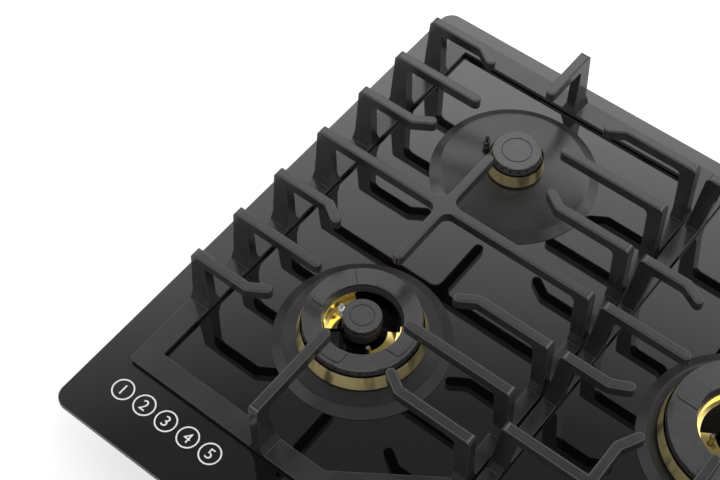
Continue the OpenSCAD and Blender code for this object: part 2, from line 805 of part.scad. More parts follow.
// Left grate: frame, seven posts on each side, one at each end, and the fingers over two burners
module side_grate() {
    rows = [-row_outer, -burner_row, -row_inner, 0, row_inner, burner_row, row_outer];
    outer_x = -frame_x + reach(post_lean);
    inner_x = -seam_x - reach(seam_lean);
    free = tip_free_r + tip_r;
    color([0.13, 0.13, 0.135])
    difference() {
        union() {
            translate([0, 0, frame_z]) linear_extrude(frame_t) difference() {
                side_frame_outline(0, 0, 0);
                side_frame_outline(side_bar_w, seam_bar_w, end_bar_w);
                translate([-frame_x, frame_front_y]) rotate(180) corner_waste(frame_corner_r);
                translate([-frame_x, frame_rear_y]) rotate(90) corner_waste(frame_corner_r);
                translate([-seam_x, frame_rear_y]) corner_waste(frame_corner_r);
            }
            for (r = rows) {
                post([-frame_x, mid_y + r], 0, side_bar_w, post_lean);
                post([-seam_x, mid_y + r], 180, seam_bar_w, seam_lean);
            }
            post([-side_x, frame_front_y], 90, end_bar_w, 0);
            post([-side_x, frame_rear_y], -90, end_bar_w, post_lean);
            finger_run([outer_x, mid_y], [inner_x, mid_y]);
            finger_run([-side_x, front_y + free], [-side_x, rear_y - free]);
            knuckle([-side_x, front_y + free]);
            knuckle([-side_x, rear_y - free]);
            finger([[-side_x, frame_front_y + reach(0)], [-side_x, front_y - free]]);
            finger([[-side_x, frame_rear_y - reach(post_lean)], [-side_x, rear_y + free]]);
            translate([-side_x, mid_y, finger_low_z]) linear_extrude(finger_h) cross_fillets();
            for (s = [-1, 1], b = [front_y, rear_y]) {
                x = s < 0 ? outer_x : inner_x;
                finger([[x, b], [-side_x + s * free, b]]);
                for (t = [-1, 1]) {
                    y = mid_y + (b < mid_y ? -1 : 1) * (t * (b < mid_y ? -1 : 1) > 0 ? row_outer : row_inner);
                    finger([[x, y], [-side_x + s * bend_x, y], [-side_x + s * bent_tip_x, b + t * bent_tip_y]]);
                }
            }
        }
        pad_holes(side_pads());
    }
}

module left_grate() {
    side_grate();
}

module right_grate() {
    mirror([1, 0, 0]) side_grate();
}

// Middle grate over the wok burner
module middle_grate() {
    start = mid_grate_half - reach(post_lean);
    free = wok_free_r + tip_r;
    h = frame_rear_y - mid_front_y;
    color([0.13, 0.13, 0.135])
    difference() {
        union() {
            translate([0, (frame_rear_y + mid_front_y) / 2, frame_z]) linear_extrude(frame_t) difference() {
                rounded_plate(2 * mid_grate_half, h, frame_corner_r);
                square([2 * (mid_grate_half - seam_bar_w), h - 2 * end_bar_w], center = true);
            }
            for (s = [-1, 1], r = [-front_bar_y, -row_inner, 0, row_inner, row_outer])
                post([s * mid_grate_half, mid_y + r], s < 0 ? 0 : 180, seam_bar_w, post_lean);
            post([0, mid_front_y], 90, end_bar_w, 0);
            post([0, frame_rear_y], -90, end_bar_w, post_lean);
            for (r = [-front_bar_y, row_outer]) finger_run([-start, mid_y + r], [start, mid_y + r]);
            finger([[0, mid_front_y + reach(0)], [0, mid_y - free]]);
            finger([[0, frame_rear_y - reach(post_lean)], [0, mid_y + free]]);
            for (s = [-1, 1]) {
                finger([[s * start, mid_y], [s * free, mid_y]]);
                for (t = [-1, 1]) {
                    y = mid_y + t * row_inner;
                    bar_y = mid_y + (t < 0 ? -front_bar_y : row_outer);
                    finger([[s * start, y], [s * wok_bend_x, y], [s * wok_tip_x, mid_y + t * wok_tip_y]]);
                    finger([[s * branch_x, bar_y], [s * branch_x, mid_y + t * branch_bend_y],
                        [s * branch_tip_x, mid_y + t * branch_tip_y]]);
                }
            }
        }
        pad_holes(mid_pads());
    }
}

module left_grate_feet() {
    feet(side_pads());
}

module right_grate_feet() {
    mirror([1, 0, 0]) feet(side_pads());
}

module middle_grate_feet() {
    feet(mid_pads());
}

// Spill dish: sloping flank, then a shallow rise to the collar of the burner cup
module dish(r, collar, skirt_z) {
    hole = collar + pass_gap;
    neck_z = glass_z + skirt_z - dish_gap;
    neck_r = collar + dish_gap;
    top_r = r - flank_w;
    top_z = glass_z + flank_h;
    rotate_extrude() polygon([
        [hole, neck_z - dish_t], [neck_r, neck_z - dish_t], [top_r, top_z - dish_t], [r - 2 * dish_t, glass_z],
        [r, glass_z], [r, glass_z + 0.4 * dish_t], [top_r + 0.5 * dish_t, top_z - 0.3 * dish_t],
        [top_r - dish_t, top_z], [neck_r, neck_z], [hole, neck_z]
    ]);
}

// Holes for the igniter and the sensor of a single burner, from height z up
module probe_holes(collar, gap, z, h) {
    rotate([0, 0, igniter_a]) translate([probe_r(collar), 0, z]) cylinder(r = igniter_r + gap, h = h);
    rotate([0, 0, sensor_a]) translate([probe_r(collar), 0, z]) cylinder(r = sensor_r + gap, h = h);
}

module small_dish() {
    color([0.12, 0.12, 0.125])
    at_small() difference() {
        dish(dish_r, collar_small_r, small_z);
        probe_holes(collar_small_r, pass_gap, glass_z, finger_top);
    }
}

module medium_dishes() {
    color([0.12, 0.12, 0.125])
    at_medium() difference() {
        dish(dish_r, collar_medium_r, medium_z);
        probe_holes(collar_medium_r, pass_gap, glass_z, finger_top);
    }
}

module double_dish() {
    color([0.12, 0.12, 0.125])
    at_double() dish(dish_r, collar_double_r, double_z);
}

module wok_dish() {
    color([0.12, 0.12, 0.125])
    at_wok() dish(wok_dish_r, collar_wok_r, wok_z);
}

// Children placed at the screws on the foot of one cup
module cup_screw_ring(collar) {
    for (a = [45:90:315]) rotate([0, 0, a]) translate([foot_r(collar) - screw_head_r - 1, 0, 0]) children();
}

module at_cup_screws() {
    at_small() cup_screw_ring(collar_small_r) children();
    at_double() cup_screw_ring(collar_double_r) children();
    at_medium() cup_screw_ring(collar_medium_r) children();
    at_wok() cup_screw_ring(collar_wok_r) children();
}

// Screws that hold the cups on the platforms of the tray
module cup_screws() {
    color([0.75, 0.75, 0.76])
    at_cup_screws() {
        translate([0, 0, platform_h + cup_foot_t]) cylinder(r = screw_head_r, h = screw_head_h);
        translate([0, 0, 1]) cylinder(r = screw_r, h = platform_h + cup_foot_t - 1);
    }
}

// Socket for a pipe end: opens at x = face and is pipe_hold deep, with a gas way on to the middle
module pipe_socket(face, middle) {
    translate([face - pipe_hold, 0, pipe_z]) rotate([0, 90, 0])
        cylinder(r = pipe_r + pipe_fit, h = pipe_hold + 2 * cup_wall);
    translate([middle, 0, pipe_z]) rotate([0, 90, 0]) cylinder(r = pipe_r / 2, h = face - pipe_hold - middle + 0.5);
}

// Bores above the pipe socket: gas way, jet seat and throat
module throat(r, top) {
    translate([0, 0, pipe_z]) cylinder(r = pipe_r / 2, h = jet_z - pipe_z + 1);
    translate([0, 0, jet_z]) cylinder(r = r, h = top);
}

// Cup of a single burner: foot, body with the throat, ledge under the glass and collar through it
module single_cup(collar, skirt_z, pipe_a) {
    top = glass_z + skirt_z + 1;
    body = collar - cup_wall;
    difference() {
        union() {
            translate([0, 0, platform_h]) cylinder(r = foot_r(collar), h = cup_foot_t);
            translate([0, 0, platform_h]) cylinder(r = body, h = top - platform_h);
            translate([0, 0, ledge_z]) cylinder(r = single_hole_r(collar) + 3, h = ledge_t);
            translate([0, 0, ledge_z]) cylinder(r = collar, h = top - ledge_z);
        }
        throat(throat_r, top);
        translate([0, 0, glass_z - glass_t]) cylinder(r = body, h = top);
        cup_screw_ring(collar) cylinder(r = screw_r + pass_gap, h = platform_h + cup_foot_t + 1);
        rotate([0, 0, pipe_a]) pipe_socket(body, 0);
        probe_holes(collar, pass_gap / 4, ledge_z - 1, ledge_t + 2);
    }
}

module small_cup() {
    color([0.66, 0.67, 0.68])
    at_small() single_cup(collar_small_r, small_z, 0);
}

module medium_cups() {
    color([0.66, 0.67, 0.68])
    at_medium() single_cup(collar_medium_r, medium_z, 180);
}

// Distance of a mixing tube along the pipes, so that it stands in line with the second pipe
function mix_x(hole_r, cap_r) = sqrt(pow(mix_r(hole_r, cap_r), 2) - pow(twin_pitch, 2));

// Cup of a ring burner: outer shell, middle column for the inner burner and a mixing tube for the ring.
// Both pipes come from +X: one to the column, the other to the mixing tube.
module ring_cup(collar, skirt_z, hole_r, cap_r) {
    top = glass_z + skirt_z + 1;
    column_top = glass_z + skirt_z + bowl_z - bowl_t;
    mx = mix_x(hole_r, cap_r);
    base_top = platform_h + cup_foot_t;
    difference() {
        union() {
            difference() {
                union() {
                    translate([0, 0, platform_h]) cylinder(r = foot_r(collar), h = cup_foot_t);
                    translate([0, 0, platform_h]) cylinder(r = collar, h = top - platform_h);
                }
                translate([0, 0, base_top]) cylinder(r = collar - cup_wall, h = top);
            }
            translate([0, 0, platform_h]) cylinder(r = column_r, h = column_top - platform_h);
            translate([mx, twin_pitch, platform_h]) cylinder(r = mix_tube_r, h = column_top - platform_h);
            translate([mx, twin_pitch, pipe_z]) rotate([0, 90, 0])
                cylinder(r = pipe_r + 2, h = collar - 1.5 * cup_wall - mx);
        }
        throat(throat_r, top);
        translate([mx, twin_pitch, 0]) throat(mix_bore_r, top);
        pipe_socket(column_r, 0);
        translate([0, twin_pitch, 0]) pipe_socket(collar - cup_wall, mx);
        pipe_passage(collar);
        cup_screw_ring(collar) cylinder(r = screw_r + pass_gap, h = base_top + 1);
        for (a = [ring_igniter_a, ring_sensor_a]) rotate([0, 0, a])
            translate([ring_probe_r(hole_r), 0, platform_h - 1]) cylinder(r = pipe_r / 2, h = cup_foot_t + 2);
    }
}

// Way for a pipe through the shell of a ring cup
module pipe_passage(collar) {
    translate([collar - 3 * cup_wall, 0, pipe_z]) rotate([0, 90, 0])
        cylinder(r = pipe_r + pass_gap, h = 4 * cup_wall);
}

module double_cup() {
    color([0.66, 0.67, 0.68])
    at_double() ring_cup(collar_double_r, double_z, double_hole_r, double_cap_r);
}

module wok_cup() {
    color([0.66, 0.67, 0.68])
    at_wok() rotate([0, 0, -90]) ring_cup(collar_wok_r, wok_z, wok_hole_r, wok_cap_r);
}

// Brass crown of a single burner: flared skirt, rim with the cap seat, and a spigot in the cup
module single_crown(collar, r, rim_r, skirt_z) {
    z0 = glass_z + skirt_z;
    seat = z0 + skirt_h - rim_seat;
    bore = throat_r + 2;
    spigot = collar - cup_wall - pass_gap / 2;
    rotate_extrude() polygon([
        [bore, z0 + 1], [spigot - cup_wall, z0 + 1], [spigot - cup_wall, z0 - cup_wall], [spigot, z0 - cup_wall],
        [spigot, z0 + 1], [collar + pass_gap, z0 + 1], [collar + pass_gap, z0], [r, z0],
        [rim_r, z0 + skirt_h], [rim_r - rim_w, z0 + skirt_h], [rim_r - rim_w, seat], [bore, seat]
    ]);
}

module small_crown() {
    color([0.78, 0.66, 0.35])
    at_small() single_crown(collar_small_r, small_r, small_rim_r, small_z);
}

module medium_crowns() {
    color([0.78, 0.66, 0.35])
    at_medium() single_crown(collar_medium_r, medium_r, medium_rim_r, medium_z);
}

// Ring sector between two radii and two angles, less than half a turn wide
module sector(r_in, r_out, a0, a1) {
    far = 2 * r_out;
    intersection() {
        difference() {
            circle(r_out);
            circle(r_in);
        }
        polygon([
            [0, 0], far * [cos(a0), sin(a0)], far * [cos((a0 + a1) / 2), sin((a0 + a1) / 2)],
            far * [cos(a1), sin(a1)]
        ]);
    }
}

// Brass crown of a ring burner: flared skirt, gas channel, and a bowl that bridges to the inner burner
module ring_crown(collar, r, rim_r, hole_r, cap_r, skirt_z) {
    z0 = glass_z + skirt_z;
    seat = z0 + skirt_h - rim_seat;
    wall = inner_wall_r(hole_r);
    bowl = z0 + bowl_z;
    hub = inner_cap_r - rim_w;
    mx = mix_x(hole_r, cap_r);
    difference() {
        rotate_extrude() polygon([
            [throat_r, bowl - bowl_t], [wall, bowl - bowl_t], [collar - cup_wall - pass_gap / 2, bowl - bowl_t],
            [collar - cup_wall - pass_gap / 2, z0 + 1], [collar + pass_gap, z0 + 1], [collar + pass_gap, z0], [r, z0],
            [rim_r, z0 + skirt_h], [rim_r - rim_w, z0 + skirt_h], [rim_r - rim_w, seat],
            [channel_out(cap_r), seat], [channel_out(cap_r), z0 + channel_z],
            [channel_in(hole_r), z0 + channel_z], [channel_in(hole_r), seat], [wall, seat], [wall, bowl],
            [hub, bowl], [hub, bowl + hub_h], [throat_r, bowl + hub_h]
        ]);
        for (w = windows) translate([0, 0, bowl - bowl_t - 1]) linear_extrude(bowl_t + 2)
            sector(hub + bowl_t, wall - bowl_t, w[0], w[1]);
        translate([mx, twin_pitch, bowl - bowl_t - 1]) cylinder(r = mix_bore_r - 1, h = channel_z + bowl_t);
        translate([0, 0, bowl - bowl_t - 1]) {
            rotate([0, 0, ring_igniter_a]) translate([ring_probe_r(hole_r), 0, 0])
                cylinder(r = igniter_r + pass_gap, h = skirt_h);
            rotate([0, 0, ring_sensor_a]) translate([ring_probe_r(hole_r), 0, 0])
                cylinder(r = sensor_r + pass_gap, h = skirt_h);
        }
    }
}

module double_crown() {
    color([0.78, 0.66, 0.35])
    at_double() ring_crown(collar_double_r, double_r, double_rim_r, double_hole_r, double_cap_r, double_z);
}

module wok_crown() {
    color([0.78, 0.66, 0.35])
    at_wok() rotate([0, 0, -90]) ring_crown(collar_wok_r, wok_r, wok_rim_r, wok_hole_r, wok_cap_r, wok_z);
}

// Radial flame ports at height z through a wall that ends at radius r
module flame_ports(n, r, z) {
    for (i = [0:n - 1]) rotate([0, 0, (i + 0.5) * 360 / n]) translate([r - 2 * cap_wall, 0, z])
        rotate([0, 90, 0]) cylinder(r = port_r, h = 3 * cap_wall, $fn = 16);
}

// Ring engraved in the top of a cap
module engraved_ring(r, z) {
    translate([0, 0, z - mark_depth]) difference() {
        cylinder(r = r + mark_w / 2, h = mark_depth + 1);
        translate([0, 0, -1]) cylinder(r = r - mark_w / 2, h = mark_depth + 3);
    }
}

// Cap of a single burner: plate, overhanging lip and skirt with the flame ports
module single_cap(rim_r, cap_r, skirt_z, n, mark_r) {
    rim_z = glass_z + skirt_z + skirt_h;
    zb = rim_z - rim_seat + rest_gap;
    zt = rim_z + band_h;
    inner = cap_r - cap_lip - cap_wall;
    difference() {
        rotate_extrude() polygon([
            [0, zt], [cap_r - cap_lip, zt], [cap_r, zt - cap_lip], [cap_r, zt - 2 * cap_lip],
            [cap_r - cap_lip, zt - 3 * cap_lip], [rim_r - rim_w - rest_gap, zb], [inner, zb], [inner, zt - cap_t],
            [0, zt - cap_t]
        ]);
        flame_ports(n, rim_r - rim_w, rim_z + port_z);
        engraved_ring(mark_r, zt);
    }
}

module small_cap() {
    color([0.2, 0.2, 0.205])
    at_small() single_cap(small_rim_r, small_cap_r, small_z, small_ports, small_mark_r);
}

module medium_cap() {
    single_cap(medium_rim_r, medium_cap_r, medium_z, medium_ports, medium_mark_r);
}

module medium_front_cap() {
    color([0.2, 0.2, 0.205])
    translate([side_x, front_y, 0]) medium_cap();
}

module medium_rear_cap() {
    color([0.2, 0.2, 0.205])
    translate([side_x, rear_y, 0]) medium_cap();
}

// Four raised pads on a ring cap
module cap_pads(hole_r, cap_r) {
    outer = cap_r - pad_plate_inset;
    intersection() {
        difference() {
            circle(outer);
            circle(hole_r);
        }
        for (a = [0, 90]) rotate(a) rounded_plate(2 * outer, pad_plate_w, pad_plate_r);
    }
}

// Cap of a ring burner: flat ring with two skirts, ports outside, four raised pads and a locating groove
module ring_cap(rim_r, cap_r, hole_r, skirt_z, n) {
    rim_z = glass_z + skirt_z + skirt_h;
    zb = rim_z - rim_seat + rest_gap;
    zt = rim_z + band_h;
    inner = cap_r - cap_lip - cap_wall;
    wall = inner_wall_r(hole_r);
    notch = 3 * cap_lip;
    difference() {
        union() {
            rotate_extrude() polygon([
                [hole_r + cap_lip, zt], [cap_r - cap_lip, zt], [cap_r, zt - cap_lip], [cap_r, zt - 2 * cap_lip],
                [cap_r - cap_lip, zt - 3 * cap_lip], [rim_r - rim_w - rest_gap, zb], [inner, zb],
                [inner, zt - cap_t], [hole_r + cap_wall, zt - cap_t], [wall + cap_wall, zb], [wall + cap_lip, zb],
                [hole_r, zt - cap_lip]
            ]);
            translate([0, 0, zt - cap_lip]) linear_extrude(cap_lip + pad_plate_h) cap_pads(hole_r + cap_lip, cap_r);
        }
        flame_ports(n, rim_r - rim_w, rim_z + port_z);
        rotate([0, 0, 135]) translate([hole_r - 1, -mark_w / 2, zt - mark_depth])
            cube([cap_r - hole_r + 2, mark_w, mark_depth + 1]);
        rotate([0, 0, 135]) translate([cap_r - notch, -notch, zt - 2 * cap_lip])
            cube([notch + 1, 2 * notch, 2 * cap_lip + 1]);
    }
}

module double_ring_cap() {
    color([0.2, 0.2, 0.205])
    at_double() ring_cap(double_rim_r, double_cap_r, double_hole_r, double_z, double_ports);
}

module wok_ring_cap() {
    color([0.2, 0.2, 0.205])
    at_wok() ring_cap(wok_rim_r, wok_cap_r, wok_hole_r, wok_z, wok_ports);
}

// Tall cap of an inner burner on the hub of its crown
module inner_cap(skirt_z) {
    zt = glass_z + skirt_z + skirt_h + band_h + inner_rise;
    zb = glass_z + skirt_z + bowl_z + hub_h + rest_gap;
    neck = inner_cap_r - cap_lip;
    band_z = zt - band_h;
    inner = neck - cap_wall;
    difference() {
        rotate_extrude() polygon([
            [0, zt], [inner_cap_r - cap_lip, zt], [inner_cap_r, zt - cap_lip], [inner_cap_r, zt - 2 * cap_lip],
            [neck, zt - 3 * cap_lip], [inner_cap_r + cap_lip, band_z], [inner_cap_r + cap_lip, band_z - cap_lip],
            [neck, band_z - 2 * cap_lip], [neck, zb], [inner, zb], [inner, zt - cap_t], [0, zt - cap_t]
        ]);
        flame_ports(inner_ports, inner_cap_r + cap_lip, band_z + port_z);
        engraved_ring(inner_mark_r, zt);
    }
}

module double_inner_cap() {
    color([0.2, 0.2, 0.205])
    at_double() inner_cap(double_z);
}

module wok_inner_cap() {
    color([0.2, 0.2, 0.205])
    at_wok() inner_cap(wok_z);
}

// Children placed at the igniter or sensor angle of the single burners, the double burner and the wok burner
module at_single_probes(a) {
    at_small() rotate([0, 0, a]) translate([probe_r(collar_small_r), 0, 0]) children();
    at_medium() rotate([0, 0, a]) translate([probe_r(collar_medium_r), 0, 0]) children();
}

module at_double_probe(a) {
    at_double() rotate([0, 0, a]) translate([ring_probe_r(double_hole_r), 0, 0]) children();
}

module at_wok_probe(a) {
    at_wok() rotate([0, 0, a - 90]) translate([ring_probe_r(wok_hole_r), 0, 0]) children();
}

// Ceramic rod with a waist near its top
module ceramic(z0, z1) {
    neck = igniter_r - waist_d;
    top = z1 - z0;
    waist = top - waist_from_top;
    translate([0, 0, z0]) rotate_extrude() polygon([
        [0, 0], [igniter_r, 0], [igniter_r, waist - waist_l - 1], [neck, waist - waist_l], [neck, waist],
        [igniter_r, waist + 1], [igniter_r, top - waist_d], [neck, top], [0, top]
    ]);
}

module igniters() {
    color([0.93, 0.92, 0.88]) {
        at_single_probes(igniter_a) ceramic(ledge_z, glass_z + igniter_z - pin_h);
        at_double_probe(ring_igniter_a) ceramic(cup_floor_z, probe_top(double_z));
        at_wok_probe(ring_igniter_a) ceramic(cup_floor_z, probe_top(wok_z));
    }
}

// Steel pin on a ceramic at height z, with a flat head
module pin(z) {
    translate([0, 0, z]) {
        cylinder(r = pin_r, h = pin_h);
        translate([0, 0, pin_h - pin_r]) cylinder(r = 2 * pin_r, h = pin_r);
    }
}

module igniter_tips() {
    color([0.45, 0.45, 0.46]) {
        at_single_probes(igniter_a) pin(glass_z + igniter_z - pin_h);
        at_double_probe(ring_igniter_a) pin(probe_top(double_z));
        at_wok_probe(ring_igniter_a) pin(probe_top(wok_z));
    }
}

// Flame sensor: a thin rod with a domed top
module sensor(z0, z1) {
    translate([0, 0, z0]) cylinder(r = sensor_r, h = z1 - sensor_r - z0);
    translate([0, 0, z1 - sensor_r]) sphere(sensor_r);
}

module flame_sensors() {
    color([0.5, 0.5, 0.52]) {
        at_single_probes(sensor_a) sensor(ledge_z, glass_z + igniter_z);
        at_double_probe(ring_sensor_a) sensor(cup_floor_z, probe_top(double_z) + pin_h);
        at_wok_probe(ring_sensor_a) sensor(cup_floor_z, probe_top(wok_z) + pin_h);
    }
}

// Brass jet with a hexagon and a nozzle
module jet() {
    translate([0, 0, jet_z]) difference() {
        union() {
            cylinder(r = jet_r, h = jet_h / 2, $fn = 6);
            cylinder(r = nozzle_r, h = jet_h);
        }
        translate([0, 0, -1]) cylinder(r = jet_bore_r, h = jet_h + 2);
    }
}

module gas_jets() {
    mx = mix_x(double_hole_r, double_cap_r);
    wx = mix_x(wok_hole_r, wok_cap_r);
    color([0.8, 0.68, 0.38]) {
        at_small() jet();
        at_medium() jet();
        at_double() {
            jet();
            translate([mx, twin_pitch, 0]) jet();
        }
        at_wok() {
            jet();
            translate([twin_pitch, -wx, 0]) jet();
        }
    }
}

// Outline of the spindle with its flat
module key_outline(grow) {
    intersection() {
        circle(spindle_r + grow);
        translate([-spindle_r - 1, -spindle_r - 1]) square([1 + spindle_key + grow, 2 * spindle_r + 2]);
    }
}

// Knob: foot ring, fluted body, pointer groove on top and a keyed boss round the spindle
module knob() {
    wall = knob_wall;
    boss_r = spindle_r + wall;
    difference() {
        rotate_extrude() polygon([
            [0, wall], [boss_r, wall], [boss_r, knob_h - wall], [knob_top_r - wall, knob_h - wall],
            [knob_top_r - wall, wall], [knob_r - wall, 0], [knob_r, 0], [knob_r, wall],
            [knob_top_r, wall + 1.5], [knob_top_r, knob_h - 1], [knob_top_r - 1, knob_h], [0, knob_h]
        ]);
        for (i = [0:knob_flutes - 1]) rotate([0, 0, i * 360 / knob_flutes])
            translate([knob_top_r + flute_r / 2, 0, wall + 4]) cylinder(r = flute_r, h = knob_h, $fn = 24);
        translate([-pointer_w / 2, knob_top_r / 3, knob_h - mark_depth])
            cube([pointer_w, knob_top_r, mark_depth + 1]);
        translate([0, 0, wall - 1]) linear_extrude(knob_h - 2 * wall + 1) key_outline(run_gap);
    }
}

module knob_at(i) {
    color([0.14, 0.14, 0.145])
    translate([knob_x[i], knob_y, knob_z]) knob();
}

module knob_1() { knob_at(0); }
module knob_2() { knob_at(1); }
module knob_3() { knob_at(2); }
module knob_4() { knob_at(3); }
module knob_5() { knob_at(4); }

// Spindle: keyed at both ends, round where it passes the bonnet of the tap
module spindle_at(i) {
    h = spindle_top_z - spindle_z;
    lower_flat = key_h + knob_push + 2 * rest_gap;
    color([0.7, 0.7, 0.71])
    translate([knob_x[i], knob_y, spindle_z]) difference() {
        cylinder(r = spindle_r, h = h);
        translate([spindle_key - spindle_r, -spindle_r - 1, -1]) cube([spindle_r, 2 * spindle_r + 2, lower_flat + 1]);
        translate([spindle_key - spindle_r, -spindle_r - 1, knob_z - spindle_z])
            cube([spindle_r, 2 * spindle_r + 2, h]);
    }
}

module spindle_1() { spindle_at(0); }
module spindle_2() { spindle_at(1); }
module spindle_3() { spindle_at(2); }
module spindle_4() { spindle_at(3); }
module spindle_5() { spindle_at(4); }

// Plug of a tap: keyed bore for the spindle, gas bore from below and cross bore; closed at rest
module plug_at(i) {
    color([0.8, 0.68, 0.38])
    translate([knob_x[i], knob_y, plug_z]) difference() {
        cylinder(r = plug_r, h = plug_h);
        translate([0, 0, plug_h - key_h - knob_push - 1]) linear_extrude(plug_h) key_outline(run_gap);
        translate([0, 0, -1]) cylinder(r = gas_way_r, h = way_z - plug_z + 1);
        translate([0, 0, way_z - plug_z]) rotate([0, 90, 0]) cylinder(r = gas_way_r, h = plug_r + 1);
    }
}

module tap_plug_1() { plug_at(0); }
module tap_plug_2() { plug_at(1); }
module tap_plug_3() { plug_at(2); }
module tap_plug_4() { plug_at(3); }
module tap_plug_5() { plug_at(4); }

// Bezel rings on the glass under the knobs
module knob_bezels() {
    color([0.2, 0.2, 0.205])
    at_knobs() translate([0, 0, glass_z]) rotate_extrude() polygon([
        [spindle_r + 2 * pass_gap, 0], [bezel_r, 0], [bezel_r, bezel_h / 2], [bezel_r - bezel_h / 2, bezel_h],
        [spindle_r + 2 * pass_gap, bezel_h]
    ]);
}

// Tap body: block on the rail, neck with the bonnet round the spindle, and one or two outlets to the rear
module tap_body(outlets) {
    neck = plug_r + 2.5;
    neck_top = tray_h - 3;
    bore_y = tap_d / 2 + stub_l - pipe_hold;
    difference() {
        union() {
            translate([-tap_w / 2, -tap_d / 2, tap_z]) cube([tap_w + (outlets - 1) * twin_pitch / 2, tap_d, tap_h]);
            translate([0, 0, tap_z + tap_h - 1]) cylinder(r = neck, h = neck_top - tap_z - tap_h + 1);
            for (i = [0:outlets - 1]) translate([i * twin_pitch, tap_d / 2 - 1, pipe_z]) rotate([-90, 0, 0])
                cylinder(r = pipe_r + 1.5, h = stub_l + 1);
        }
        translate([0, 0, plug_z - rest_gap]) cylinder(r = plug_r + run_gap, h = plug_h + 2 * rest_gap);
        translate([0, 0, plug_z]) cylinder(r = spindle_r + run_gap, h = tray_h);
        translate([0, 0, tap_z - 1]) cylinder(r = gas_way_r, h = plug_z - tap_z + 1);
        for (i = [0:outlets - 1]) {
            translate([i * twin_pitch, bore_y, pipe_z]) rotate([-90, 0, 0])
                cylinder(r = pipe_r + pipe_fit, h = pipe_hold + 1);
            rotate([0, 0, -atan2(i * twin_pitch, bore_y)]) translate([0, 0, way_z]) rotate([-90, 0, 0])
                cylinder(r = gas_way_r, h = norm([i * twin_pitch, bore_y]) + 1);
        }
    }
}

module tap_bodies() {
    color([0.72, 0.73, 0.74])
    for (i = [0:4]) translate([knob_x[i], knob_y, 0]) tap_body(i == 0 || i == 2 ? 2 : 1);
}

// Square tube outline, seen along its length
module rail_outline(w) {
    translate([0, rail_z + rail_w / 2]) square(w, center = true);
}

// Both legs of the rail as solid bars w wide; the left end is moved in and the rear end out
module rail_bars(w, in, out) {
    left = knob_x[0] - tap_w + in;
    translate([left, knob_y, 0]) rotate([90, 0, 90]) linear_extrude(rail_arm_x + w / 2 - left) rail_outline(w);
    translate([rail_arm_x, rail_end_y + out, 0]) rotate([90, 0, 0])
        linear_extrude(rail_end_y + out - knob_y + w / 2) rail_outline(w);
}

// Gas rail: one tube under the taps and one arm back to the inlet
module gas_rail() {
    color([0.68, 0.69, 0.7])
    difference() {
        rail_bars(rail_w, 0, 0);
        rail_bars(rail_w - 2 * rail_t, rail_t, 1);
        at_knobs() translate([0, 0, tap_z - rail_t - 1]) cylinder(r = gas_way_r, h = rail_t + 2);
    }
}

// Bent brackets that carry the rail on the tray floor
module rail_saddles() {
    w = rail_w + 2 * saddle_t;
    color([0.62, 0.63, 0.65])
    for (x = [knob_x[0] - tap_w + saddle_l, knob_x[1] / 2 + knob_x[2] / 2, knob_x[4] + 2 * saddle_l + tap_w])
        translate([x, knob_y, 0]) rotate([90, 0, 90]) linear_extrude(saddle_l) difference() {
            union() {
                translate([-w / 2, tray_t]) square([w, rail_lift + rail_w / 2]);
                translate([-w, tray_t]) square([2 * w, saddle_t]);
            }
            translate([-rail_w / 2, rail_z]) square(rail_w);
            translate([-rail_w / 2, tray_t - 1]) square([rail_w, rail_lift - saddle_t + 1]);
        }
}

// Tube outline of a burner pipe
module pipe_ring() {
    difference() {
        circle(pipe_r);
        circle(pipe_r - pipe_t);
    }
}

// Pipe from a tap at x = x0 that turns at y = y1 towards side s and ends at x = x1
module turned_pipe(x0, y1, x1, s) {
    y0 = knob_y + tap_d / 2 + stub_l - pipe_hold;
    b = pipe_bend_r;
    run = abs(x1 - x0) - b;
    translate([x0, y0, pipe_z]) rotate([-90, 0, 0]) linear_extrude(y1 - b - y0) pipe_ring();
    translate([x0 + s * b, y1 - b, pipe_z]) rotate([0, 0, s < 0 ? 0 : 90]) rotate_extrude(angle = 90)
        translate([b, 0]) pipe_ring();
    translate([x0 + s * b, y1, pipe_z]) rotate([0, s * 90, 0]) linear_extrude(run) pipe_ring();
}

// Pipes from the taps to the burner cups
module burner_pipes() {
    y0 = knob_y + tap_d / 2 + stub_l - pipe_hold;
    small_end = collar_small_r - cup_wall - pipe_hold;
    medium_end = collar_medium_r - cup_wall - pipe_hold;
    color([0.72, 0.73, 0.74]) {
        turned_pipe(knob_x[0], front_y, -side_x + column_r - pipe_hold, -1);
        turned_pipe(knob_x[0] + twin_pitch, front_y + twin_pitch, -side_x + collar_double_r - cup_wall - pipe_hold, -1);
        turned_pipe(knob_x[1], rear_y, -side_x + small_end, -1);
        turned_pipe(knob_x[3], rear_y, side_x - medium_end, 1);
        turned_pipe(knob_x[4], front_y, side_x - medium_end, 1);
        translate([knob_x[2], y0, pipe_z]) rotate([-90, 0, 0])
            linear_extrude(mid_y - column_r + pipe_hold - y0) pipe_ring();
        translate([knob_x[2] + twin_pitch, y0, pipe_z]) rotate([-90, 0, 0])
            linear_extrude(mid_y - collar_wok_r + cup_wall + pipe_hold - y0) pipe_ring();
    }
}

// Gas inlet: collar on the rail's arm, threaded spigot through the step of the tray, and its nut
module gas_inlet() {
    y0 = rail_end_y;
    wall_y = tray_y - step_d;
    out = wall_y + tray_t;
    nut_r = inlet_r + 3;
    color([0.8, 0.68, 0.38])
    translate([rail_arm_x, 0, rail_z + rail_w / 2]) rotate([-90, 0, 0]) difference() {
        union() {
            translate([0, 0, y0]) cylinder(r = inlet_r + 1, h = wall_y - y0);
            translate([0, 0, y0]) cylinder(r = inlet_r, h = out + nut_h + inlet_l - y0);
            translate([0, 0, out]) cylinder(r = nut_r, h = nut_h, $fn = 6);
        }
        translate([0, 0, y0 - 1]) cylinder(r = inlet_bore_r, h = out + nut_h + inlet_l - y0 + 2);
    }
}

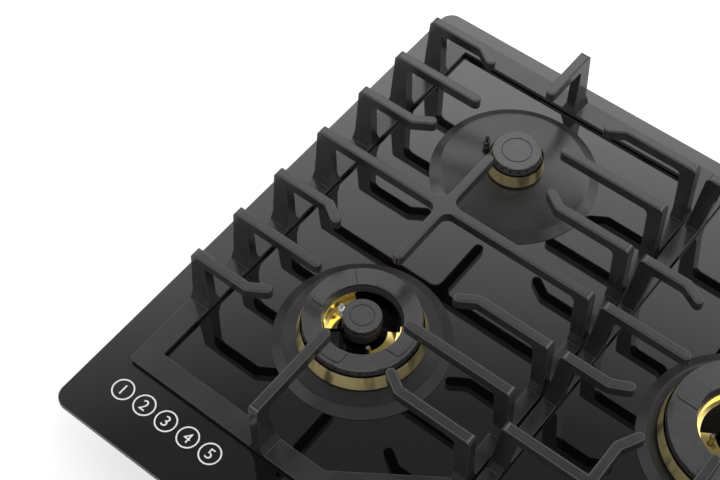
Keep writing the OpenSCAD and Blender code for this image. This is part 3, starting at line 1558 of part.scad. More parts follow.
// Battery ignition box with its round battery cover and five spark outlets
module ignition_box() {
    color([0.2, 0.2, 0.21])
    translate([-ignition_x, mid_y, tray_t]) {
        difference() {
            linear_extrude(ignition_h) rounded_plate(ignition_l, ignition_w, 3);
            translate([-ignition_l / 2 - 1, 0, ignition_h / 2]) rotate([0, 90, 0]) cylinder(r = cover_r + 1, h = 2);
        }
        translate([-ignition_l / 2, 0, ignition_h / 2]) rotate([0, 90, 0]) cylinder(r = cover_r, h = 2);
        for (i = [-2:2]) translate([i * ignition_l / 6, ignition_w / 4, ignition_h - 1])
            cylinder(r = 3, h = 6);
    }
}

glass_panel();
base_tray();
worktop_seal();
clamp_brackets();
clamp_screws();
left_grate();
middle_grate();
right_grate();
left_grate_feet();
middle_grate_feet();
right_grate_feet();
small_dish();
medium_dishes();
double_dish();
wok_dish();
small_cup();
medium_cups();
double_cup();
wok_cup();
cup_screws();
small_crown();
medium_crowns();
double_crown();
wok_crown();
small_cap();
medium_front_cap();
medium_rear_cap();
double_ring_cap();
double_inner_cap();
wok_ring_cap();
wok_inner_cap();
igniters();
igniter_tips();
flame_sensors();
gas_jets();
knob_1();
knob_2();
knob_3();
knob_4();
knob_5();
spindle_1();
spindle_2();
spindle_3();
spindle_4();
spindle_5();
tap_plug_1();
tap_plug_2();
tap_plug_3();
tap_plug_4();
tap_plug_5();
knob_bezels();
tap_bodies();
gas_rail();
rail_saddles();
burner_pipes();
gas_inlet();
ignition_box();
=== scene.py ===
"""Looks of a built-in gas cooktop: black glass, cast-iron pan supports, brass burners, knobs and steel tray.

Every length is in metres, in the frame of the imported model: X to the right, Y to the rear, Z up.
"""

from __future__ import annotations

import logging
import math
from dataclasses import dataclass, field
from enum import Enum
from functools import partial

import bmesh
import bpy
import numpy as np
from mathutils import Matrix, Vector, geometry


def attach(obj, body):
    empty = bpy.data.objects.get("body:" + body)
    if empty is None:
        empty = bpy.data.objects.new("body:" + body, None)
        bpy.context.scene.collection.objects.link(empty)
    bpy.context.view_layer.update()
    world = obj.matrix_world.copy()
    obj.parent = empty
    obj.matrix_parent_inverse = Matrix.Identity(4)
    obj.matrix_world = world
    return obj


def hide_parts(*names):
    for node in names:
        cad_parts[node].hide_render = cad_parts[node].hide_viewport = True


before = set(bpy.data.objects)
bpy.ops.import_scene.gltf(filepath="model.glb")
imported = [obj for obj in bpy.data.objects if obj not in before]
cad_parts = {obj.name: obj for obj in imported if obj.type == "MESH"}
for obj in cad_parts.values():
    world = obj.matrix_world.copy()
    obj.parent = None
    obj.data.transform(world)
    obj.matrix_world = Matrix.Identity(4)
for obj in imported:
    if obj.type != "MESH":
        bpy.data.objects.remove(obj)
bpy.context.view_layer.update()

log = logging.getLogger("cooktop")

Colour = tuple[float, float, float]
Place = tuple[float, float]
Shape = tuple[np.ndarray, np.ndarray]
Socket = bpy.types.NodeSocket
Material = bpy.types.Material
Piece = bpy.types.Object
Input = Socket | float | tuple[float, ...]

ROOT = "cooktop"
MM = 0.001

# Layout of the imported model: top of the glass, burner axes and knob axes
GLASS_TOP = 0.060
SIDE_X = 0.2763
FRONT_Y = -0.0684
MIDDLE_Y = 0.0343
REAR_Y = 0.1370
KNOB_X = tuple(0.066 * place for place in range(-2, 3))
KNOB_Y = -0.195

# Faces that meet at less than this angle shade as one smooth surface
SMOOTH_BELOW = math.radians(32.0)
# Points closer than this are one point
SAME_POINT = 1e-7


class Direction(Enum):
    """How the grain of a metal runs: its features per metre along X, Y and Z."""

    ROUND = (40.0, 40.0, 5000.0)
    ALONG_X = (40.0, 4000.0, 4000.0)
    NONE = (900.0, 900.0, 900.0)


def fill(tree: bpy.types.NodeTree, node: bpy.types.Node, **inputs: Input) -> bpy.types.Node:
    """Set a node's inputs by name, with underscores for blanks, and link those whose value is a socket."""
    for name, value in inputs.items():
        socket = node.inputs[name.replace("_", " ")]
        if isinstance(value, Socket):
            tree.links.new(value, socket)
        else:
            socket.default_value = value
    return node


def add_node(tree: bpy.types.NodeTree, kind: str, **inputs: Input) -> bpy.types.Node:
    """Add a shader node, whose type is named without the word ShaderNode, and fill its inputs."""
    return fill(tree, tree.nodes.new(f"ShaderNode{kind}"), **inputs)


class Shader:
    """One procedural material: a Principled shader with helpers that add its texture nodes."""

    NORMAL_RAYS = 6
    SHADE_RAYS = 16
    BLACK = (0.0005, 0.0005, 0.0005)

    def __init__(self, name: str, colour: Colour, roughness: float, metallic: float = 0.0) -> None:
        """Start a material.

        Args:
            name: name of the material.
            colour: linear base colour.
            roughness: roughness of the reflection.
            metallic: 1 for bare metal, 0 for anything else.
        """
        self.material = bpy.data.materials.new(name)
        self.material.use_nodes = True
        self.tree = self.material.node_tree
        self.tree.nodes.clear()
        self.colour = colour
        self.roughness = roughness
        self.principled = self.add("BsdfPrincipled")
        self.surface(Base_Color=(*colour, 1.0), Roughness=roughness, Metallic=metallic)
        self.output = self.add("OutputMaterial", Surface=self.principled.outputs["BSDF"])
        self.point = self.add("TexCoord").outputs["Object"]
        self.normal: Socket | None = None

    def add(self, kind: str, **inputs: Input) -> bpy.types.Node:
        """Add a node to this material."""
        return add_node(self.tree, kind, **inputs)

    def surface(self, **inputs: Input) -> Shader:
        """Set or link inputs of the Principled shader."""
        fill(self.tree, self.principled, **inputs)
        return self

    def place(self, centre: Colour = (0.0, 0.0, 0.0), scale: Colour = (1.0, 1.0, 1.0)) -> Socket:
        """Object coordinates moved and stretched for a pattern.

        Args:
            centre: point that becomes the pattern's origin, in metres.
            scale: stretch along each axis.

        Returns:
            The socket with the coordinates.
        """
        shift = tuple(-c * s for c, s in zip(centre, scale))
        return self.add("Mapping", Vector=self.point, Location=shift, Scale=scale).outputs["Vector"]

    def noise(self, scale: float, detail: float = 3.0, where: Socket | None = None) -> Socket:
        """Fractal noise, from 0 to 1.

        Args:
            scale: features per metre.
            detail: octaves of the noise.
            where: coordinates, or None for plain Object coordinates.

        Returns:
            The noise value.
        """
        return self.add("TexNoise", Scale=scale, Detail=detail, Vector=where or self.point).outputs["Fac"]

    def cells(self, scale: float) -> Socket:
        """Flat Voronoi cells, each with its own grey value, for zinc spangle."""
        return self.rise(self.add("TexVoronoi", Scale=scale, Vector=self.point).outputs["Color"], 0.0, 1.0)

    def spread(self, value: Socket, low: float, high: float, to_low: float, to_high: float) -> Socket:
        """Map a value from one range to another, clamped.

        Args:
            value: socket to map.
            low: value that becomes to_low.
            high: value that becomes to_high.
            to_low: result at low.
            to_high: result at high.

        Returns:
            The mapped value.
        """
        return self.add("MapRange", Value=value, From_Min=low, From_Max=high, To_Min=to_low,
                        To_Max=to_high).outputs["Result"]

    def rise(self, value: Socket, low: float, high: float) -> Socket:
        """Share that rises from 0 to 1 while the value goes from low to high."""
        return self.spread(value, low, high, 0.0, 1.0)

    def fall(self, value: Socket, low: float, high: float) -> Socket:
        """Share that falls from 1 to 0 while the value goes from low to high."""
        return self.spread(value, low, high, 1.0, 0.0)

    def math(self, operation: str, first: Socket, second: Socket | float | None = None) -> Socket:
        """Combine a socket with a socket or a number, or pass it through a function.

        Args:
            operation: name of the Math node's operation.
            first: first socket.
            second: second socket, a number, or None for a function of one value.

        Returns:
            The result.
        """
        node = self.add("Math")
        node.operation = operation
        self.tree.links.new(first, node.inputs[0])
        if isinstance(second, (int, float)):
            node.inputs[1].default_value = second
        elif second is not None:
            self.tree.links.new(second, node.inputs[1])
        return node.outputs["Value"]

    def height(self) -> Socket:
        """Height of a point above the tray's underside."""
        return self.add("SeparateXYZ", Vector=self.point).outputs["Z"]

    def distance_from_axis(self, x: float, y: float) -> Socket:
        """Distance of a point from the vertical line through (x, y)."""
        length = self.add("VectorMath", Vector=self.place((x, y, 0.0), (1.0, 1.0, 0.0)))
        length.operation = "LENGTH"
        return length.outputs["Value"]

    def webs(self, x: float, y: float, turn: float, half: float) -> Socket:
        """Share of a burner's painted dark sectors: all that lies outside two opposite sectors round a
        vertical line.

        With the turn a of a point round the line, the share rises from 0 to 1 where cos 2 (a - turn) falls
        past cos 2 half.

        Args:
            x: place of the line.
            y: place of the line.
            turn: middle of the first open sector, in degrees.
            half: half width of an open sector, in degrees.

        Returns:
            The share.
        """
        around = self.add("SeparateXYZ", Vector=self.place((x, y, 0.0)))
        angle = self.math("ARCTAN2", around.outputs["Y"], around.outputs["X"])
        double = self.math("MULTIPLY", self.math("SUBTRACT", angle, math.radians(turn)), 2.0)
        edge, soft = math.cos(math.radians(2.0 * half)), 0.03
        return self.fall(self.math("COSINE", double), edge - soft, edge + soft)

    def creases(self, reach: float) -> Socket:
        """Share of shade in grooves and inner corners no wider than reach, in metres."""
        node = self.add("AmbientOcclusion", Distance=reach)
        node.samples = self.SHADE_RAYS
        node.only_local = True
        return self.fall(node.outputs["AO"], 0.40, 0.80)

    def convex_edges(self, radius: float) -> Socket:
        """Share of the strip along sharp edges, where the softened normal leaves the face's own."""
        turn = self.add("VectorMath")
        turn.operation = "DOT_PRODUCT"
        for node, side in zip((self.rounded(radius), self.add("NewGeometry")), turn.inputs):
            self.tree.links.new(node.outputs["Normal"], side)
        return self.fall(turn.outputs["Value"], 0.86, 0.99)

    def rounded(self, radius: float) -> bpy.types.Node:
        """Node with the normal that sharp edges would have with this radius."""
        node = self.add("Bevel", Radius=radius)
        node.samples = self.NORMAL_RAYS
        return node

    def blend_colour(self, other: Colour, share: Socket) -> Shader:
        """Blend the base colour towards another where share is high."""
        base = self.principled.inputs["Base Color"]
        before = base.links[0].from_socket if base.is_linked else (*self.colour, 1.0)
        mix = self.add("Mix")
        mix.data_type = "RGBA"
        fill(self.tree, mix, A=before, B=(*other, 1.0), Factor=share)
        return self.surface(Base_Color=mix.outputs["Result"])

    def mottle(self, value: Socket, tone: float, low: float, high: float, most: float = 1.0) -> Shader:
        """Blend towards a darker or lighter tone of the base colour where a pattern's value is high.

        Args:
            value: the pattern.
            tone: brightness of the other tone, as a multiple of the base colour's.
            low: value of the pattern where the tone begins.
            high: value of the pattern where it is full.
            most: share of the tone there.

        Returns:
            This shader.
        """
        share = self.spread(value, low, high, 0.0, most)
        return self.blend_colour(tuple(tone * c for c in self.colour), share)

    def blacken(self, share: Socket) -> Shader:
        """Paint shade where share is high: black, and without the gloss of its coat."""
        self.surface(Metallic=share)
        return self.blend_colour(self.BLACK, share)

    def uneven(self, value: Socket, less: float, more: float) -> Socket:
        """Roughness that a noise moves from less below its plain value to more above it."""
        return self.spread(value, 0.3, 0.7, self.roughness - less, self.roughness + more)

    def bump(self, height: Socket, depth: float) -> Shader:
        """Add relief; depth is the real height of the texture in metres."""
        return self._shade_with(self.add("Bump", Strength=1.0, Distance=depth, Height=height))

    def soften_edges(self, radius: float) -> Shader:
        """Shade sharp edges as if they had this radius."""
        return self._shade_with(self.rounded(radius))

    def _shade_with(self, node: bpy.types.Node) -> Shader:
        """Pass the normal through a node, for the surface and for what is added next."""
        if self.normal is not None:
            fill(self.tree, node, Normal=self.normal)
        self.normal = node.outputs["Normal"]
        return self.surface(Normal=self.normal)


@dataclass(frozen=True)
class Skirt:
    """Ported skirt of a burner cap: its axis, the height of the ports, and its cone.

    On the cone, the radius plus taper times height is the same everywhere, and mouth_r is its radius at the
    ports' height.
    """

    centre: Place
    port_z: float
    mouth_r: float
    taper: float
    port_r: float = 0.0010
    blend: float = 0.0002
    wall: Place = (0.0035, 0.0030)

    def ports(self, s: Shader) -> Socket:
        """Share of the ports' bores: near the ports' height, inside the cone and outside the inner wall."""
        radius, height = s.distance_from_axis(*self.centre), s.height()
        cone = s.math("ADD", radius, s.math("MULTIPLY", height, self.taper))
        mouth = self.mouth_r + self.taper * self.port_z
        inside = s.fall(cone, mouth - 2 * self.blend, mouth - self.blend)
        in_wall = s.rise(radius, *(self.mouth_r - depth for depth in self.wall))
        offset = s.math("ABSOLUTE", s.math("SUBTRACT", height, self.port_z))
        near = s.fall(offset, self.port_r + self.blend / 2, self.port_r + self.blend)
        return s.math("MULTIPLY", s.math("MULTIPLY", inside, in_wall), near)


@dataclass(frozen=True)
class Enamel:
    """Black enamel on cast iron, pressed steel or burner caps: fine orange peel, slight change of gloss.

    A cap has a dull band below the height band_z, and painted shade: black in its ports' bores and in its
    creases. A painted highlight is a lighter strip of worn_edge along sharp edges, where round edges
    would catch the light.
    """

    name: str
    colour: Colour
    roughness: float
    peel: float = 0.00001
    grain: float = 900.0
    edge: float = 0.0003
    specular: float = 0.5
    band_z: float = 0.0
    band: Colour = (0.040, 0.040, 0.042)
    band_blend: float = 0.0008
    crease: float = 0.0
    skirt: Skirt | None = None
    worn_edge: float = 0.0
    worn: Colour = (0.075, 0.075, 0.075)

    def material(self) -> Material:
        """Build the material."""
        s = Shader(self.name, self.colour, self.roughness)
        s.surface(Specular_IOR_Level=self.specular)
        s.soften_edges(self.edge)
        s.bump(s.noise(self.grain, 4.0), self.peel)
        s.surface(Roughness=s.uneven(s.noise(30.0, 4.0), 0.04, 0.05))
        s.mottle(s.noise(220.0, 5.0), 1.25, 0.45, 0.75)
        if self.band_z > 0.0:
            s.blend_colour(self.band, s.fall(s.height(), self.band_z, self.band_z + self.band_blend))
        # Painted highlight: a lighter colour along sharp edges, where rounded edges would catch the light.
        if self.worn_edge > 0.0:
            s.blend_colour(self.worn, s.convex_edges(self.worn_edge))
        # Painted shade: black, without gloss, in the port bores and in creases.
        if self.skirt is not None:
            s.blacken(s.math("MAXIMUM", s.creases(self.crease), self.skirt.ports(s)))
        return s.material


@dataclass(frozen=True)
class Brass:
    """Turned brass: satin with fine rings, upright streaks of painted reflection, painted shade in black
    above rim_z.

    The middle of a ring burner is polished, with painted reflection and shade in black on its hub and outside
    two opposite open sectors. Its floor falls outwards at the given slope to a groove at the dip's share of
    its radius, and rises from there to the wall.
    """

    name: str
    colour: Colour
    roughness: float
    centre: Place = (0.0, 0.0)
    polished_radius: float = 0.0
    polish: float = 0.09
    bright: Colour = (1.0, 0.78, 0.28)
    black: Colour = (0.004, 0.004, 0.004)
    column_radius: float = 0.0195
    web_turn: float = 176.0
    web_half: float = 38.0
    dip: float = 0.87
    slope: float = 0.22
    rim_z: float = 0.0
    rim_blend: float = 0.0002
    lathe_waves: float = 16000.0
    lathe_depth: float = 0.0000025
    streaks: float = 75.0

    def material(self) -> Material:
        """Build the material."""
        s = Shader(self.name, self.colour, self.roughness, 1.0)
        s.soften_edges(0.0003)
        radius = s.distance_from_axis(*self.centre)
        rings = s.noise(1.0, 2.0, s.place(scale=(20.0, 20.0, 9000.0)))
        turned = s.math("SINE", s.math("MULTIPLY", radius, self.lathe_waves))
        s.bump(s.math("ADD", rings, s.spread(turned, -1.0, 1.0, 0.0, 0.3)), self.lathe_depth)
        satin = s.uneven(s.noise(45.0, 4.0), 0.04, 0.06)
        # Painted reflection: darker upright streaks, the bands that a round brass surface reflects from its
        # surroundings.
        upright = s.place((*self.centre, 0.0), (self.streaks, self.streaks, 0.0))
        s.mottle(s.noise(1.0, 2.0, upright), 0.30, 0.50, 0.66)
        if self.rim_z > 0.0:
            # Painted shade: black above the rim, where the cap's lip shades the brass.
            shade_z = self.rim_z - self.rim_blend
            s.blend_colour(self.black, s.rise(s.height(), shade_z - self.rim_blend, shade_z))
        if self.polished_radius > 0.0:
            satin = self.polish_middle(s, radius, satin)
        s.surface(Roughness=satin)
        return s.material

    def polish_middle(self, s: Shader, radius: Socket, satin: Socket) -> Socket:
        """Polish the middle of a ring burner, slope its floor, and paint reflection and shade in black on its
        hub and outside its two open sectors.

        Args:
            s: the brass.
            radius: distance from the burner's axis.
            satin: roughness outside the middle.

        Returns:
            The roughness everywhere.
        """
        inside = s.fall(radius, self.polished_radius, self.polished_radius + 0.0005)
        valley = s.math("ABSOLUTE", s.math("SUBTRACT", radius, self.dip * self.polished_radius))
        s.bump(s.math("MULTIPLY", valley, inside), self.slope)
        s.blend_colour(self.bright, inside)
        # Painted reflection and shade: black outside the two open sectors, where the floor mirrors the dark
        # cap, and on the hub.
        webs = s.webs(*self.centre, self.web_turn, self.web_half)
        column = s.fall(radius, self.column_radius, self.column_radius + 0.0003)
        s.blend_colour(self.black, s.math("MULTIPLY", s.math("MAXIMUM", webs, column), inside))
        lift = s.math("MULTIPLY", s.math("SUBTRACT", satin, self.polish), s.fall(inside, 0.0, 1.0))
        return s.math("ADD", lift, self.polish)


@dataclass(frozen=True)
class Metal:
    """Bare or zinc-plated metal with a grain, or with spangle."""

    name: str
    colour: Colour
    roughness: float
    direction: Direction = Direction.NONE
    spangle: bool = False
    grain_depth: float = 0.000004

    def material(self) -> Material:
        """Build the material."""
        s = Shader(self.name, self.colour, self.roughness, 1.0)
        s.soften_edges(0.0003)
        if self.spangle:
            cell = s.cells(160.0)
            s.surface(Roughness=s.spread(cell, 0.0, 1.0, self.roughness - 0.08, self.roughness + 0.10))
            s.mottle(cell, 0.78, 0.2, 0.9, 0.7)
            return s.material
        grain = s.noise(1.0, 3.0, s.place(scale=self.direction.value))
        s.bump(grain, self.grain_depth)
        s.surface(Roughness=s.uneven(grain, 0.05, 0.08))
        s.mottle(s.noise(70.0, 4.0), 0.8, 0.45, 0.8, 0.6)
        return s.material


@dataclass(frozen=True)
class Moulded:
    """Plastic, rubber or foam with a fine skin."""

    name: str
    colour: Colour
    roughness: float
    skin: float = 0.00002
    grain: float = 1400.0
    coat: float = 0.0

    def material(self) -> Material:
        """Build the material."""
        s = Shader(self.name, self.colour, self.roughness)
        s.surface(Coat_Weight=self.coat)
        s.soften_edges(0.0004)
        s.bump(s.noise(self.grain, 3.0), self.skin)
        s.surface(Roughness=s.uneven(s.noise(60.0, 3.0), 0.05, 0.05))
        s.mottle(s.noise(300.0, 4.0), 0.82, 0.4, 0.8, 0.6)
        return s.material


@dataclass(frozen=True)
class IgniterFinish:
    """Finish of the igniters: one colour inside the ring burners, a sooty one beside the single burners."""

    name: str
    sooty: Colour
    clean: Colour
    roughness: float
    metallic: float
    inner: tuple[Place, ...]
    reach: float = 0.035

    def material(self) -> Material:
        """Build the material."""
        s = Shader(self.name, self.sooty, self.roughness, self.metallic)
        s.bump(s.noise(1400.0, 3.0), 0.000006)
        for centre in self.inner:
            s.blend_colour(self.clean, s.fall(s.distance_from_axis(*centre), self.reach, self.reach + MM))
        return s.material


@dataclass(frozen=True)
class BlackGlass:
    """Toughened black glass: mirror-like top, ground and matt at its edge."""

    name: str = "black glass"
    colour: Colour = (0.0012, 0.0012, 0.0013)
    edge_colour: Colour = (0.10, 0.10, 0.105)
    speck: Colour = (0.004, 0.004, 0.0042)
    edge_roughness: float = 0.35
    ground_below: Place = (0.0004, 0.0001)

    def material(self) -> Material:
        """Build the material."""
        s = Shader(self.name, self.colour, 0.03)
        s.surface(IOR=1.9)
        smudge = s.spread(s.noise(9.0, 5.0), 0.35, 0.75, 0.025, 0.06)
        ground = s.fall(s.height(), *(GLASS_TOP - depth for depth in self.ground_below))
        s.surface(Roughness=s.math("ADD", smudge, s.math("MULTIPLY", ground, self.edge_roughness)))
        s.blend_colour(self.edge_colour, ground)
        s.blend_colour(self.speck, s.rise(s.noise(2500.0, 2.0), 0.62, 0.8))
        return s.material


@dataclass(frozen=True)
class Ink:
    """White ceramic ink fired onto the glass, or paint in a groove, slightly uneven."""

    name: str = "white ink"
    colour: Colour = (0.62, 0.62, 0.61)
    thin: Colour = (0.45, 0.45, 0.45)

    def material(self) -> Material:
        """Build the material."""
        s = Shader(self.name, self.colour, 0.45)
        s.blend_colour(self.thin, s.rise(s.noise(2500.0, 3.0), 0.45, 0.7))
        return s.material


def new_piece(name: str, shape: Shape, material: Material, smooth: bool = True) -> Piece:
    """Make an object from arrays.

    Args:
        name: name of the piece.
        shape: points, one row each in metres, and corner numbers, one row per face.
        material: finish of the piece.
        smooth: whether faces shade smoothly across shallow edges.

    Returns:
        The new object, at the origin.
    """
    points, faces = shape
    mesh = bpy.data.meshes.new(name)
    mesh.from_pydata(points.tolist(), [], faces.tolist())
    mesh.update()
    merged = bmesh.new()
    merged.from_mesh(mesh)
    bmesh.ops.remove_doubles(merged, verts=merged.verts, dist=SAME_POINT)
    bmesh.ops.recalc_face_normals(merged, faces=merged.faces)
    merged.to_mesh(mesh)
    merged.free()
    mesh.materials.append(material)
    piece = bpy.data.objects.new(name, mesh)
    bpy.context.scene.collection.objects.link(piece)
    if smooth:
        mesh.shade_smooth()
        mesh.set_sharp_from_angle(angle=SMOOTH_BELOW)
    return piece


def grid_faces(rows: int, columns: int, wrap_rows: bool = False, wrap_columns: bool = False) -> np.ndarray:
    """Quads that join the points of a grid stored row by row.

    Face (i, j) joins points (i, j), (i, j+1), (i+1, j+1) and (i+1, j); a wrapped direction closes on itself.

    Args:
        rows: rows of points.
        columns: points in a row.
        wrap_rows: join the last row to the first.
        wrap_columns: join the last column to the first.

    Returns:
        Corner numbers, four to a face.
    """
    i = np.arange(rows if wrap_rows else rows - 1)
    j = np.arange(columns if wrap_columns else columns - 1)
    i, j = (a.ravel() for a in np.meshgrid(i, j, indexing="ij"))
    i2, j2 = (i + 1) % rows, (j + 1) % columns
    return np.stack([i * columns + j, i * columns + j2, i2 * columns + j2, i2 * columns + j], axis=1)


def joined(parts: list[Shape]) -> Shape:
    """Join several sets of points and faces into one."""
    starts = np.cumsum([0] + [len(points) for points, _ in parts[:-1]])
    return np.vstack([p for p, _ in parts]), np.vstack([f + start for (_, f), start in zip(parts, starts)])


def dress(node: str, material: Material) -> None:
    """Give a CAD node its finish."""
    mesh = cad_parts[node].data
    mesh.materials.clear()
    mesh.materials.append(material)


def ride_as(piece: Piece, body: str, slot: str, *nodes: str) -> Piece:
    """Let a piece ride on a body and stand for CAD nodes.

    Args:
        piece: the piece.
        body: body that it moves with.
        slot: not used.
        nodes: CAD nodes that it replaces.

    Returns:
        The piece.
    """
    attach(piece, body)
    if nodes:
        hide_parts(*nodes)
    log.info("piece %s rides on %s with %d faces", piece.name, body, len(piece.data.polygons))
    return piece


@dataclass
class PanSupports:
    """Three cast-iron grates with enamel that has a painted highlight along its sharp edges, on rubber feet.
    """

    sides: tuple[str, ...] = ("left", "middle", "right")
    enamel: Enamel = Enamel("grate enamel", (0.017, 0.017, 0.0173), 0.17, peel=0.00002, edge=0.0005,
                            specular=0.80, worn_edge=0.0007)
    rubber: Moulded = Moulded("foot rubber", (0.012, 0.012, 0.012), 0.7)

    def build(self) -> None:
        """Dress the castings and their feet."""
        enamel, rubber = self.enamel.material(), self.rubber.material()
        for side in self.sides:
            dress(f"{side}_grate_feet", rubber)
            dress(f"{side}_grate", enamel)


@dataclass
class Burner:
    """One kind of burner.

    Its fields are the names of its nodes, its axis, the height of its brass rim, the radius and taper of its
    cap's skirt at the ports, and for a ring burner the radius of its polished middle.
    """

    crown: str
    dish: str
    cup: str
    caps: tuple[str, ...]
    centre: Place
    rim_z: float
    mouth_r: float
    taper: float
    polished_radius: float = 0.0
    web_half: float = 38.0
    band_h: float = 0.0043
    port_h: float = 0.0026
    inner_mouth_r: float = 0.01524
    inner_taper: float = 0.214
    inner_port_h: float = 0.0070

    def cap_enamel(self, cap: str) -> Enamel:
        """Enamel of a cap: the inner one has no dark band, and the rear one's axis is at the rear."""
        x, y = self.centre
        if "inner" in cap:
            band_z = 0.0
            skirt = Skirt((x, y), self.rim_z + self.inner_port_h, self.inner_mouth_r, self.inner_taper)
        else:
            band_z = self.rim_z + self.band_h
            centre = (x, REAR_Y if "rear" in cap else y)
            skirt = Skirt(centre, self.rim_z + self.port_h, self.mouth_r, self.taper)
        return Enamel(f"{cap} enamel", (0.026, 0.026, 0.0265), 0.21, grain=1500.0, specular=0.95,
                      band_z=band_z, crease=0.0015, skirt=skirt)

    def dress(self, dish: Material, cup: Material) -> None:
        """Dress the crown, dish, cup and caps."""
        brass = Brass(f"{self.crown} brass", (0.95, 0.82, 0.42), 0.48, self.centre, self.polished_radius,
                      rim_z=self.rim_z, web_half=self.web_half)
        dress(self.crown, brass.material())
        dress(self.dish, dish)
        dress(self.cup, cup)
        for cap in self.caps:
            dress(cap, self.cap_enamel(cap).material())


@dataclass
class Burners:
    """Five burners with their igniters, flame sensors and jets."""

    kinds: tuple[Burner, ...] = (
        Burner("small_crown", "small_dish", "small_cup", ("small_cap",), (-SIDE_X, REAR_Y),
               rim_z=0.0862, mouth_r=0.02031, taper=0.2353),
        Burner("medium_crowns", "medium_dishes", "medium_cups", ("medium_front_cap", "medium_rear_cap"),
               (SIDE_X, FRONT_Y), rim_z=0.0854, mouth_r=0.02695, taper=0.25),
        Burner("double_crown", "double_dish", "double_cup", ("double_ring_cap", "double_inner_cap"),
               (-SIDE_X, FRONT_Y), rim_z=0.0836, mouth_r=0.04632, taper=0.0735, polished_radius=0.0305),
        Burner("wok_crown", "wok_dish", "wok_cup", ("wok_ring_cap", "wok_inner_cap"), (0.0, MIDDLE_Y),
               rim_z=0.0796, mouth_r=0.05751, taper=0.1029, polished_radius=0.0350, web_half=89.0),
    )

    def build(self) -> None:
        """Dress every burner."""
        dish = Enamel("dish enamel", (0.014, 0.014, 0.0145), 0.27, grain=1200.0, specular=0.75).material()
        deep = Enamel("deep dish enamel", (0.010, 0.010, 0.0105), 0.38, grain=1200.0, specular=0.45)
        deep = deep.material()
        cup = Metal("cast aluminium", (0.55, 0.56, 0.57), 0.45, grain_depth=0.00003).material()
        for burner in self.kinds:
            burner.dress(deep if burner.polished_radius > 0.0 else dish, cup)
        rings = tuple(burner.centre for burner in self.kinds if burner.polished_radius > 0.0)
        ceramic = IgniterFinish("igniter ceramic", (0.012, 0.012, 0.0125), (0.85, 0.84, 0.80), 0.22, 0.0,
                                rings)
        steel = IgniterFinish("igniter steel", (0.03, 0.03, 0.031), (0.35, 0.35, 0.36), 0.4, 1.0, rings)
        dress("igniters", ceramic.material())
        dress("igniter_tips", steel.material())
        dress("flame_sensors", Metal("sensor steel", (0.2, 0.2, 0.205), 0.38, Direction.ROUND).material())
        dress("gas_jets", Brass("jet brass", (0.66, 0.5, 0.22), 0.25).material())


